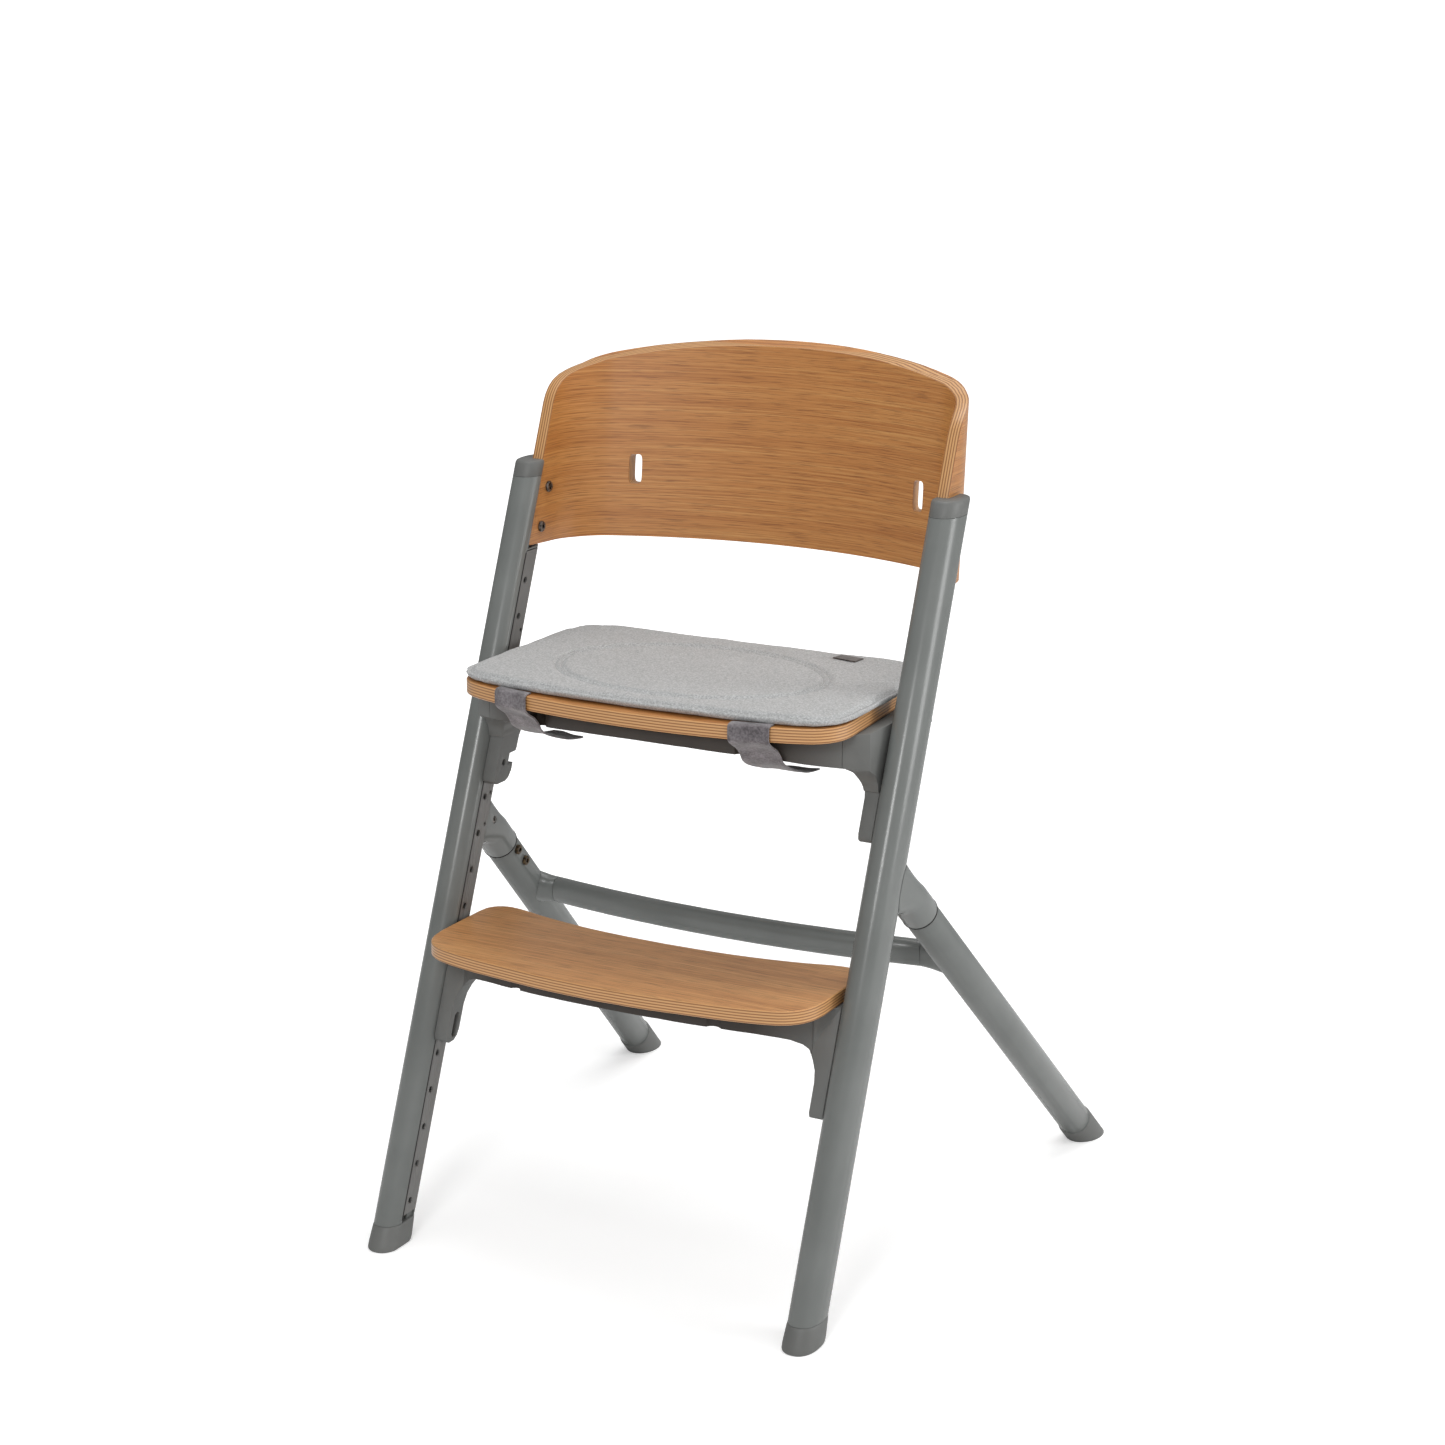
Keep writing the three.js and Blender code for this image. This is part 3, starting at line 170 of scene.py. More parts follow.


# lighter raises every face tone by that many steps of 255; on the footrest it is painted sheen
def oakPlywood(name, halfThickness, lighter=0):
    material, tree, shader = newMaterial(name)
    grain = addNode(tree, "ShaderNodeAttribute", attribute_name="grain").outputs["Vector"]
    split = addNode(tree, "ShaderNodeSeparateXYZ", {"Vector": grain})

    def streaks(alongMm, acrossMm, detail, seed, distortion=0.0, deepMm=1000.0):
        scaled = addNode(tree, "ShaderNodeMapping", {
            "Vector": grain, "Scale": (1 / (alongMm * mm), 1 / (acrossMm * mm), 1 / (deepMm * mm)),
            "Location": (seed, seed * 1.7, 0.0)})
        return addNode(tree, "ShaderNodeTexNoise", {
            "Vector": scaled.outputs["Vector"], "Scale": 1.0, "Detail": detail, "Roughness": 0.6,
            "Distortion": distortion}).outputs["Fac"]

    broad = streaks(420, 16, 3.0, 3.0, 0.15)
    fine = streaks(240, 1.9, 3.0, 7.0)
    pores = streaks(34, 0.9, 2.0, 11.0)   # real pores are 0.3 mm wide, drawn coarser so that they show
    broad = addNode(tree, "ShaderNodeMath", {0: broad, 1: oakValues["broadShare"]},
                    operation="MULTIPLY").outputs[0]
    fine = addNode(tree, "ShaderNodeMath", {0: fine, 1: oakValues["fineShare"]},
                   operation="MULTIPLY").outputs[0]
    tone = addNode(tree, "ShaderNodeMath", {0: broad, 1: fine}, operation="ADD").outputs[0]
    face = rampBetween(tree, tone, [(stop, shifted(oakValues[shade], lighter))
                                    for stop, shade in ((0.34, "dark"), (0.5, "middle"), (0.66, "light"))])
    poreMask = rampBetween(tree, pores, [(0.36, "#ffffff"), (0.47, "#000000")])
    poreShare = addNode(tree, "ShaderNodeMath", {0: poreMask, 1: oakValues["poreShare"]},
                        operation="MULTIPLY").outputs[0]
    face = mixColours(tree, poreShare, face, linear(oakValues["pore"]))
    depth = addNode(tree, "ShaderNodeMath", {0: split.outputs["Z"], 1: 1 / (oakValues["plyMm"] * mm)},
                    operation="MULTIPLY").outputs[0]
    wobble = streaks(60, 60, 2.0, 19.0)
    wobble = addNode(tree, "ShaderNodeMath", {0: wobble, 1: 0.12}, operation="MULTIPLY").outputs[0]
    layer = addNode(tree, "ShaderNodeMath", {0: depth, 1: wobble}, operation="ADD").outputs[0]
    layer = addNode(tree, "ShaderNodeMath", {0: layer, 1: 2.0}, operation="PINGPONG").outputs[0]
    edge = rampBetween(tree, addNode(tree, "ShaderNodeMath", {0: layer, 1: 0.5}, operation="MULTIPLY")
                       .outputs[0], [(0.22, oakValues["plyBrown"]), (0.42, oakValues["plyPale"]),
                                     (0.85, oakValues["plyBright"])])
    flecks = streaks(12, 12, 2.0, 23.0, deepMm=0.8)
    edge = mixColours(tree, addNode(tree, "ShaderNodeMath", {0: flecks, 1: 0.14}, operation="MULTIPLY")
                      .outputs[0], edge, linear(oakValues["plyFleck"]))
    deepness = addNode(tree, "ShaderNodeMath", {0: split.outputs["Z"]}, operation="ABSOLUTE").outputs[0]
    isFace = addNode(tree, "ShaderNodeMath", {0: deepness, 1: halfThickness - oakValues["veneerMm"] * mm},
                     operation="GREATER_THAN").outputs[0]
    tree.links.new(mixColours(tree, isFace, edge, face), shader.inputs["Base Color"])
    shader.inputs["Roughness"].default_value = oakValues["roughness"]
    shader.inputs["IOR"].default_value = 1.48
    shader.inputs["Coat Weight"].default_value = oakValues["lacquer"]
    shader.inputs["Coat Roughness"].default_value = oakValues["lacquerRoughness"]
    bumpInto(tree, shader, pores, 0.18, 0.0002)
    return material


# knitted melange: pale grey yarn with darker fibres twisted in, and a soft nap
fabricValues = {"pale": "#bfc0c0", "middle": "#aaabab", "dark": "#949595", "yarnMm": 1.6}


def melangeFabric(name):
    material, tree, shader = newMaterial(name)
    place = addNode(tree, "ShaderNodeTexCoord").outputs["Object"]
    yarn = addNode(tree, "ShaderNodeTexNoise", {
        "Vector": place, "Scale": 1 / (fabricValues["yarnMm"] * mm), "Detail": 2.0, "Roughness": 0.7})
    loops = addNode(tree, "ShaderNodeTexVoronoi", {"Vector": place, "Scale": 640.0})
    tint = rampBetween(tree, yarn.outputs["Fac"], [(0.34, fabricValues["dark"]),
                                                   (0.5, fabricValues["middle"]),
                                                   (0.66, fabricValues["pale"])])
    tree.links.new(tint, shader.inputs["Base Color"])
    shader.inputs["Roughness"].default_value = 0.95
    shader.inputs["Specular IOR Level"].default_value = 0.2
    shader.inputs["Sheen Weight"].default_value = 0.2
    shader.inputs["Sheen Roughness"].default_value = 0.5
    height = addNode(tree, "ShaderNodeMath", {0: yarn.outputs["Fac"], 1: loops.outputs["Distance"]},
                     operation="ADD").outputs[0]
    bumpInto(tree, shader, height, 0.35, 0.0004)
    return material


# brushed loop webbing: mauve grey with a fuzzy surface
def loopWebbing(name, colour):
    material, tree, shader = newMaterial(name)
    place = addNode(tree, "ShaderNodeTexCoord").outputs["Object"]
    fuzz = addNode(tree, "ShaderNodeTexNoise", {"Vector": place, "Scale": 520.0, "Detail": 4.0})
    cloud = addNode(tree, "ShaderNodeTexNoise", {"Vector": place, "Scale": 60.0, "Detail": 2.0})
    mixed = addNode(tree, "ShaderNodeMath", {0: fuzz.outputs["Fac"], 1: cloud.outputs["Fac"]},
                    operation="ADD").outputs[0]
    mixed = addNode(tree, "ShaderNodeMath", {0: mixed, 1: 0.5}, operation="MULTIPLY").outputs[0]
    dark = shifted(colour, -30)
    pale = shifted(colour, 22)
    tint = rampBetween(tree, mixed, [(0.38, dark), (0.52, colour), (0.64, pale)])
    tree.links.new(tint, shader.inputs["Base Color"])
    shader.inputs["Roughness"].default_value = 0.92
    shader.inputs["Sheen Weight"].default_value = 0.35
    bumpInto(tree, shader, fuzz.outputs["Fac"], 0.5, 0.0005)
    return material


# spun polyester sewing thread
def spunThread(name, colour):
    material, tree, shader = newMaterial(name)
    place = addNode(tree, "ShaderNodeTexCoord").outputs["Object"]
    ply = addNode(tree, "ShaderNodeTexNoise", {"Vector": place, "Scale": 1500.0, "Detail": 2.0})
    tint = rampBetween(tree, ply.outputs["Fac"], [(0.35, "#939494"), (0.6, colour)])
    tree.links.new(tint, shader.inputs["Base Color"])
    shader.inputs["Roughness"].default_value = 0.8
    bumpInto(tree, shader, ply.outputs["Fac"], 0.3, 0.0002)
    return material


# steel screws: machined, slightly worn
def machinedSteel(name, colour, roughness):
    material, tree, shader = newMaterial(name)
    place = addNode(tree, "ShaderNodeTexCoord").outputs["Object"]
    wear = addNode(tree, "ShaderNodeTexNoise", {"Vector": place, "Scale": 400.0, "Detail": 3.0})
    tint = rampBetween(tree, wear.outputs["Fac"], [(0.35, "#2e2a26"), (0.62, colour)])
    tree.links.new(tint, shader.inputs["Base Color"])
    shader.inputs["Metallic"].default_value = 1.0
    shader.inputs["Roughness"].default_value = roughness
    bumpInto(tree, shader, wear.outputs["Fac"], 0.1, 0.0002)
    return material


halfPlyMm = {"shell": 6, "seat": 7, "footrest": 6.75}
materials = {
    "painted_aluminium": powderCoat("PowderCoatedAluminium", "#737674", 0.26),
    "rail_metal": powderCoat("PowderCoatedRail", "#757472", 0.42),
    "grey_plastic": mouldedPlastic("MouldedNylon", "#646563", 0.5),
    # the near-black here is painted shade under the boards, fading to the moulding's own grey at the sides
    "dark_plastic": mouldedPlastic("MouldedNylonUnderBoard", "#322c27", 0.5, "#626260"),
    "fabric": melangeFabric("MelangeKnit"),
    "webbing": loopWebbing("LoopWebbing", "#6f6a6d"),
    "steel": machinedSteel("MachinedSteelScrew", "#8a8580", 0.38),
    "dark_steel": machinedSteel("BlackenedSteelBolt", "#6b5b45", 0.42),
    "tag_cloth": loopWebbing("WovenTag", "#3a2f29"),
}
oakBack = oakPlywood("OakVeneerShell", halfPlyMm["shell"] * mm)
oakSeat = oakPlywood("OakVeneerSeat", halfPlyMm["seat"] * mm)
footrestSheenSteps = 24  # painted sheen: steps of 255 by which the footrest's veneer is drawn paler than the others, for the light its top catches, not a paler wood
oakFoot = oakPlywood("OakVeneerFootrest", halfPlyMm["footrest"] * mm, footrestSheenSteps)
print("materials made:", len(bpy.data.materials))


# ---- pieces made from the frame's own solids

collection = bpy.context.scene.collection


def plainMesh(obj, name):  # evaluated result as a mesh of its own
    depsgraph = bpy.context.evaluated_depsgraph_get()
    mesh = bpy.data.meshes.new_from_object(obj.evaluated_get(depsgraph), depsgraph=depsgraph)
    mesh.name = name
    return mesh


def rideWith(name, mesh, material, node, replaced=(), sharpDegrees=38):
    mesh.materials.clear()
    mesh.materials.append(material)
    mesh.polygons.foreach_set("material_index", [0] * len(mesh.polygons))
    mesh.shade_smooth()
    mesh.set_sharp_from_angle(angle=math.radians(sharpDegrees))
    obj = bpy.data.objects.new(name, mesh)
    collection.objects.link(obj)
    if replaced:
        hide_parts(*replaced)
    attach(obj, bodyOf[node])
    return obj


def finished(name, mesh, material, nodes, sharpDegrees=38):  # stands in for the frame's own solids
    return rideWith(name, mesh, material, nodes[0], nodes, sharpDegrees)


def cleaned(node, flatDegrees=0.6):  # the solid as few large faces, ready to bevel
    shape = bmesh.new()
    shape.from_mesh(frame["nodes"][node].data)
    bmesh.ops.remove_doubles(shape, verts=shape.verts, dist=2e-6)
    bmesh.ops.recalc_face_normals(shape, faces=shape.faces)
    if flatDegrees:
        bmesh.ops.dissolve_limit(shape, angle_limit=math.radians(flatDegrees), verts=shape.verts,
                                 edges=shape.edges)
    return shape


def eased(node, material, bevelMm, segments=2, angle=32, name=None, flatDegrees=0.6):
    shape = cleaned(node, flatDegrees)
    mesh = bpy.data.meshes.new(node)
    shape.to_mesh(mesh)
    shape.free()
    carrier = bpy.data.objects.new(node + "_carrier", mesh)
    collection.objects.link(carrier)
    if bevelMm:
        bevel = carrier.modifiers.new("arris", "BEVEL")
        bevel.width = bevelMm * mm
        bevel.segments = segments
        bevel.limit_method = "ANGLE"
        bevel.angle_limit = math.radians(angle)
        bevel.use_clamp_overlap = True
        bevel.miter_outer = "MITER_ARC"
    normals = carrier.modifiers.new("normals", "WEIGHTED_NORMAL")
    normals.keep_sharp = True
    bpy.context.view_layer.update()
    result = plainMesh(carrier, node + "_look")
    bpy.data.objects.remove(carrier)
    return finished(name or node + "_look", result, material, [node])


easedNodes = {  # arris in millimetres for each kind of piece
    "front_leg": 0.5, "leg_cap": 0.7, "front_foot": 0.6, "rear_leg": 0.5, "rear_foot": 0.6,
    "leg_joint": 0.6, "crossbar": 0.6, "bar_saddle": 0.6, "seat_tray": 0.5, "footrest_tray": 0.5,
    "seat_bracket": 1.0, "footrest_bracket": 1.0, "seat_pin": 0.3, "footrest_pin": 0.3,
}
for node in frame["nodes"]:
    base = node.replace("_left", "").replace("_right", "")
    if base in easedNodes:
        eased(node, materials[slotOf[node]], easedNodes[base])
    if base == "rail":
        eased(node, materials[slotOf[node]], 0, flatDegrees=0)
print("frame pieces eased")


# ---- Geometry Nodes: fasteners, hole rims and stitches

def nodeGroup(name, sockets):
    tree = bpy.data.node_groups.new(name, "GeometryNodeTree")
    tree.interface.new_socket("Geometry", in_out="INPUT", socket_type="NodeSocketGeometry")
    for label, kind in sockets:
        tree.interface.new_socket(label, in_out="INPUT", socket_type=kind)
    tree.interface.new_socket("Geometry", in_out="OUTPUT", socket_type="NodeSocketGeometry")
    given = tree.nodes.new("NodeGroupInput")
    return tree, given.outputs


def closeGroup(tree, geometry, material):
    real = addNode(tree, "GeometryNodeRealizeInstances", {"Geometry": geometry})
    coloured = addNode(tree, "GeometryNodeSetMaterial", {
        "Geometry": real.outputs[0], "Material": material})
    tree.links.new(coloured.outputs[0], tree.nodes.new("NodeGroupOutput").inputs[0])
    return tree


def applied(name, tree, mesh, values):  # the group's result on a mesh of points or edges
    carrier = bpy.data.objects.new(name + "_carrier", mesh)
    collection.objects.link(carrier)
    modifier = carrier.modifiers.new("nodes", "NODES")
    modifier.node_group = tree
    for item in tree.interface.items_tree:
        if item.in_out == "INPUT" and item.name in values:
            modifier[item.identifier] = values[item.name]
    bpy.context.view_layer.update()
    result = plainMesh(carrier, name)
    bpy.data.objects.remove(carrier)
    return result


def aimed(tree, axis):  # rotation that turns +Z to the axis
    return addNode(tree, "FunctionNodeAlignRotationToVector", {"Vector": axis}, axis="Z").outputs[0]


def fastenerGroup(material):  # socket-head screws on every point, each along its own axis
    tree, given = nodeGroup("SocketHeads", [("Head radius", "NodeSocketFloat"),
                                            ("Head height", "NodeSocketFloat"),
                                            ("Socket radius", "NodeSocketFloat")])
    chamfer = addNode(tree, "ShaderNodeMath", {0: given["Head radius"], 1: 0.16}, operation="MULTIPLY")
    inner = addNode(tree, "ShaderNodeMath", {0: given["Head radius"], 1: chamfer.outputs[0]},
                    operation="SUBTRACT")
    wall = addNode(tree, "ShaderNodeMath", {0: given["Head height"], 1: chamfer.outputs[0]},
                   operation="SUBTRACT")
    drum = addNode(tree, "GeometryNodeMeshCylinder",
                   {"Vertices": 36, "Radius": given["Head radius"], "Depth": wall.outputs[0]})
    half = addNode(tree, "ShaderNodeMath", {0: wall.outputs[0], 1: 0.5}, operation="MULTIPLY")
    lift = addNode(tree, "ShaderNodeCombineXYZ", {"Z": half.outputs[0]})
    drumUp = addNode(tree, "GeometryNodeTransform",
                     {"Geometry": drum.outputs["Mesh"], "Translation": lift.outputs[0]})
    shoulder = addNode(tree, "GeometryNodeMeshCone", {
        "Vertices": 36, "Radius Bottom": given["Head radius"], "Radius Top": inner.outputs[0],
        "Depth": chamfer.outputs[0]})
    step = addNode(tree, "ShaderNodeCombineXYZ", {"Z": wall.outputs[0]})
    shoulderUp = addNode(tree, "GeometryNodeTransform",
                         {"Geometry": shoulder.outputs["Mesh"], "Translation": step.outputs[0]})
    head = addNode(tree, "GeometryNodeMeshBoolean", operation="UNION")
    tree.links.new(drumUp.outputs[0], head.inputs["Mesh 2"])
    tree.links.new(shoulderUp.outputs[0], head.inputs["Mesh 2"])
    key = addNode(tree, "GeometryNodeMeshCylinder",
                  {"Vertices": 6, "Radius": given["Socket radius"], "Depth": given["Head height"]})
    top = addNode(tree, "ShaderNodeCombineXYZ", {"Z": given["Head height"]})
    keyUp = addNode(tree, "GeometryNodeTransform",
                    {"Geometry": key.outputs["Mesh"], "Translation": top.outputs[0]})
    socket = addNode(tree, "GeometryNodeMeshBoolean", {"Mesh 1": head.outputs[0]},
                     operation="DIFFERENCE")
    tree.links.new(keyUp.outputs[0], socket.inputs["Mesh 2"])
    axis = addNode(tree, "GeometryNodeInputNamedAttribute", {"Name": "axis"}, data_type="FLOAT_VECTOR")
    spread = addNode(tree, "GeometryNodeInstanceOnPoints", {
        "Points": given["Geometry"], "Instance": socket.outputs[0],
        "Rotation": aimed(tree, axis.outputs["Attribute"])})
    return closeGroup(tree, spread.outputs[0], material)


def pointMesh(name, places):  # points with an axis each
    mesh = bpy.data.meshes.new(name)
    mesh.from_pydata([place for place, axis in places], [], [])
    attribute = mesh.attributes.new("axis", "FLOAT_VECTOR", "POINT")
    attribute.data.foreach_set("vector", [value for place, axis in places for value in axis])
    return mesh


rearAxis = Vector((43.6, 411.3, -403.7)).normalized()


def seatOfHead(node, kind):  # where a head sits and which way it faces, from the box of its solid
    low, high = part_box(node)
    middle = (low + high) / 2
    side = 1 if middle.x > 0 else -1
    if kind == "down":
        return Vector((middle.x, middle.y, low.z + 2.4 * mm)), Vector((0, 0, -1))
    if kind == "rear":
        along = Vector((side * rearAxis.x, rearAxis.y, rearAxis.z))
        inward = Vector((-side, 0, 0)) - along * along.dot(Vector((-side, 0, 0)))
        inward.normalize()
        return middle + inward * 2.0 * mm, inward
    inner = min(abs(low.x), abs(high.x))
    return Vector((side * (inner + fastenerDepth[kind] * mm), middle.y, middle.z)), Vector((-side, 0, 0))


fastenerDepth = {"back": 2.4, "rail": 1.8, "joint": 2.2}
fastenerKinds = {  # nodes, direction, head radius, height and socket radius in millimetres
    "BackScrews": (["back_screw_lower", "back_screw_upper"], "back", 5.4, 2.4, 2.6),
    "RailScrews": (["rail_screw_low", "rail_screw_mid", "rail_screw_high"], "rail", 1.9, 1.7, 0.9),
    "JointScrews": (["joint_screw"], "joint", 3.6, 2.2, 1.7),
    "SeatScrews": (["seat_screw_front", "seat_screw_rear"], "down", 4.4, 2.4, 1.9),
    "FootrestScrews": (["footrest_screw_front", "footrest_screw_rear"], "down", 4.4, 2.4, 1.9),
    "SpigotBolts": (["spigot_bolt_upper", "spigot_bolt_lower"], "rear", 5.0, 3.2, 2.5),
}
for label, (bases, kind, radius, height, socketRadius) in fastenerKinds.items():
    nodes = [base + side for base in bases for side in ("_left", "_right")]
    material = materials[slotOf[nodes[0]]]
    points = pointMesh(label + "_points", [seatOfHead(node, kind) for node in nodes])
    mesh = applied(label, fastenerGroup(material), points, {
        "Head radius": radius * mm, "Head height": height * mm, "Socket radius": socketRadius * mm})
    rideWith(label, mesh, material, nodes[0], nodes)
print("fasteners made")

rimValues = {"Count": 18, "pitchMm": 33.5, "Hole radius": 3.5 * mm, "Rim radius": 0.25 * mm,
             "firstMm": 41.7}


def rimGroup(material):  # rolled rims around a leaning row of punched holes
    tree, given = nodeGroup("HoleRims", [
        ("Count", "NodeSocketInt"), ("Start", "NodeSocketVector"), ("Step", "NodeSocketVector"),
        ("Hole radius", "NodeSocketFloat"), ("Rim radius", "NodeSocketFloat")])
    row = addNode(tree, "GeometryNodeMeshLine", {
        "Count": given["Count"], "Start Location": given["Start"], "Offset": given["Step"]})
    ring = addNode(tree, "GeometryNodeCurvePrimitiveCircle",
                   {"Resolution": 32, "Radius": given["Hole radius"]})
    profile = addNode(tree, "GeometryNodeCurvePrimitiveCircle",
                      {"Resolution": 10, "Radius": given["Rim radius"]})
    rim = addNode(tree, "GeometryNodeCurveToMesh",
                  {"Curve": ring.outputs[0], "Profile Curve": profile.outputs[0]})
    spread = addNode(tree, "GeometryNodeInstanceOnPoints", {
        "Points": row.outputs[0], "Instance": rim.outputs[0],
        "Rotation": (0, math.radians(90), 0)})
    return closeGroup(tree, spread.outputs[0], material)


railRim = materials["rail_metal"]
for side, name in ((-1, "left"), (1, "right")):
    start = (side * railFaceMm * mm, railSlope * rimValues["firstMm"] * mm + designY,
             rimValues["firstMm"] * mm)
    stepUp = (0, railSlope * rimValues["pitchMm"] * mm, rimValues["pitchMm"] * mm)
    rims = applied("HoleRims_" + name, rimGroup(railRim), bpy.data.meshes.new("rimSeed"), {
        **rimValues, "Start": start, "Step": stepUp})
    rideWith("HoleRims_" + name, rims, railRim, "rail_" + name)
print("hole rims made")


# ---- shadow seams: a dark strip in the groove before each rail, painted shadow of that groove, and a dark joint line round the end of each collar

seamValues = {"beadMm": 2.2, "depthMm": 0.8, "proudMm": 0.15, "offsetMm": -8.2, "fromMm": 26,
              "toMm": 638, "rows": 40, "collarMm": 84.3, "collarRadiusMm": 17.7, "ringMm": 0.45}
grooveShadowSection = ((-0.5, 0.0), (-0.3, -0.1), (0.3, -0.1), (0.5, 0.0), (0.5, 1.0), (-0.5, 1.0))
# near-black: painted shadow in each rail groove, and the dark joint line round each collar
jointAndGrooveShadowBlack = mouldedPlastic("MouldedBead", "#1f1d1b", 0.7)
rearTop = Vector((224.7, 161.6, 403.7))


def grooveShadowMesh(side, values):  # long thin dark strip that leans with the leg: painted shadow of the groove
    points, faces = [], []
    rows, corners = values["rows"], len(grooveShadowSection)
    for row in range(rows + 1):
        height = values["fromMm"] + (values["toMm"] - values["fromMm"]) * row / rows
        middle = railSlope * height + values["offsetMm"]
        for across, deep in grooveShadowSection:
            x = railFaceMm - values["proudMm"] * (deep < 0) + max(deep, 0) * values["depthMm"]
            y = middle + across * values["beadMm"]
            points.append((side * x * mm, y * mm + designY, height * mm))
    for row in range(rows):
        for edge in range(corners):
            a, b = row * corners + edge, row * corners + (edge + 1) % corners
            faces.append((a, b, b + corners, a + corners))
    faces += [tuple(range(corners)), tuple(rows * corners + i for i in range(corners))]
    mesh = bpy.data.meshes.new("bead")
    mesh.from_pydata(points, [], faces)
    shape = bmesh.new()
    shape.from_mesh(mesh)
    bmesh.ops.recalc_face_normals(shape, faces=shape.faces)
    shape.to_mesh(mesh)
    shape.free()
    return mesh


def ringGroup(material):  # a round bead on every point, square to the point's axis
    tree, given = nodeGroup("SeamRings", [("Ring radius", "NodeSocketFloat"),
                                          ("Bead radius", "NodeSocketFloat")])
    ring = addNode(tree, "GeometryNodeCurvePrimitiveCircle",
                   {"Resolution": 64, "Radius": given["Ring radius"]})
    profile = addNode(tree, "GeometryNodeCurvePrimitiveCircle",
                      {"Resolution": 8, "Radius": given["Bead radius"]})
    bead = addNode(tree, "GeometryNodeCurveToMesh",
                   {"Curve": ring.outputs[0], "Profile Curve": profile.outputs[0]})
    axis = addNode(tree, "GeometryNodeInputNamedAttribute", {"Name": "axis"}, data_type="FLOAT_VECTOR")
    spread = addNode(tree, "GeometryNodeInstanceOnPoints", {
        "Points": given["Geometry"], "Instance": bead.outputs[0],
        "Rotation": aimed(tree, axis.outputs["Attribute"])})
    return closeGroup(tree, spread.outputs[0], material)


for side, name in ((-1, "left"), (1, "right")):
    rideWith("RailBead_" + name, grooveShadowMesh(side, seamValues), jointAndGrooveShadowBlack, "rail_" + name)
collarEnds = []
for side in (-1, 1):
    axis = Vector((side * rearAxis.x, rearAxis.y, rearAxis.z))
    top = Vector((side * rearTop.x, rearTop.y, rearTop.z)) * mm + Vector((0, designY, 0))
    collarEnds.append((top + axis * seamValues["collarMm"] * mm, axis))
rings = applied("CollarSeams", ringGroup(jointAndGrooveShadowBlack), pointMesh("collarEnds", collarEnds), {
    "Ring radius": seamValues["collarRadiusMm"] * mm, "Bead radius": seamValues["ringMm"] * mm})
rideWith("CollarSeams", rings, jointAndGrooveShadowBlack, "rear_leg_left")
print("seams made")


# ---- plywood pieces: grain runs across the chair, layers follow the thickness

# plan of the shell in millimetres, from the middle of the chair and the front soles
shell = {"reach": 397, "cornerX": 150, "cornerY": 303, "corner": 62, "lean": 5, "level": 707}


def shellPlace(point):  # along, across and depth at a point of the bent shell
    x = abs(point.x) / mm
    y = (point.y - designY) / mm - math.tan(math.radians(shell["lean"])) * (point.z / mm - shell["level"])
    span = shell["reach"] - shell["cornerY"]
    middle = shell["cornerX"] ** 2 + span ** 2 - shell["corner"] ** 2
    middle /= 2 * (span - shell["corner"])
    centreY = shell["reach"] - middle
    join = math.atan2(shell["cornerX"], shell["cornerY"] - centreY)
    turn = math.atan2(x - shell["cornerX"], y - shell["cornerY"])
    if y < shell["cornerY"] and x > shell["cornerX"]:
        along = middle * join + shell["corner"] * (math.pi / 2 - join) + shell["cornerY"] - y
        offset = x - shell["cornerX"] - shell["corner"]
    elif x > shell["cornerX"] and turn > join:
        along = middle * join + shell["corner"] * (turn - join)
        offset = math.hypot(x - shell["cornerX"], y - shell["cornerY"]) - shell["corner"]
    else:
        along = middle * math.atan2(x, y - centreY)
        offset = math.hypot(x, y - centreY) - middle
    side = 1 if point.x >= 0 else -1
    return Vector((side * along * mm, point.z, (offset - halfPlyMm["shell"]) * mm))


def boardPlace(low, high):
    middle = (low.z + high.z) / 2
    return lambda point: Vector((point.x, point.y, point.z - middle))


def shellNormal(point):  # outward direction of the bent faces
    step = 0.05 * mm
    here = shellPlace(point).z
    overX = shellPlace(point + Vector((step, 0, 0))).z - here
    overY = shellPlace(point + Vector((0, step, 0))).z - here
    overZ = -overY * math.tan(math.radians(shell["lean"]))
    return Vector((overX, overY, overZ)).normalized()


def plywood(node, material, place, bevelMm, faceNormal=None):
    piece = eased(node, material, bevelMm, segments=3, name=node + "_look")
    mesh = piece.data
    if faceNormal:  # large bent faces are shaded from their true curve
        normals = [Vector(corner.vector) for corner in mesh.corner_normals]
        for polygon in mesh.polygons:
            for loop in polygon.loop_indices:
                true = faceNormal(mesh.vertices[mesh.loops[loop].vertex_index].co)
                share = polygon.normal.dot(true)
                if abs(share) > 0.97:
                    normals[loop] = true * (1 if share > 0 else -1)
        mesh.normals_split_custom_set([tuple(n) for n in normals])
    attribute = mesh.attributes.new("grain", "FLOAT_VECTOR", "POINT")
    values = []
    for vertex in mesh.vertices:
        values.extend(place(vertex.co))
    attribute.data.foreach_set("vector", values)
    return piece


plywood("backrest", oakBack, shellPlace, 1.1, shellNormal)
plywood("seat_board", oakSeat, boardPlace(seatLow, seatHigh), 0)
plywood("footrest_board", oakFoot, boardPlace(footLow, footHigh), 0)
print("plywood done")


# ---- seat cushion: thin stuffed pad, stitched round the edge and along a double oval

cushionValues = {"voxelMm": 5, "pressure": 4, "frames": 20, "capMm": 2.2, "sideways": 0.3,
                 "edgeSeamMm": 8, "ovalX": 138, "ovalY": 96, "ovalCentreY": 202, "ovalGapMm": 6,
                 "seamDepthMm": 2.6, "seamWidthMm": 2.2, "waveMm": 1.6, "waveReachMm": 22,
                 "dimpleMm": 0.5, "stitchMm": 3.4, "threadMm": 0.22, "dashMm": 2.8, "fill": 0.45}
scene = bpy.context.scene
padLow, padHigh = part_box("seat_cushion")


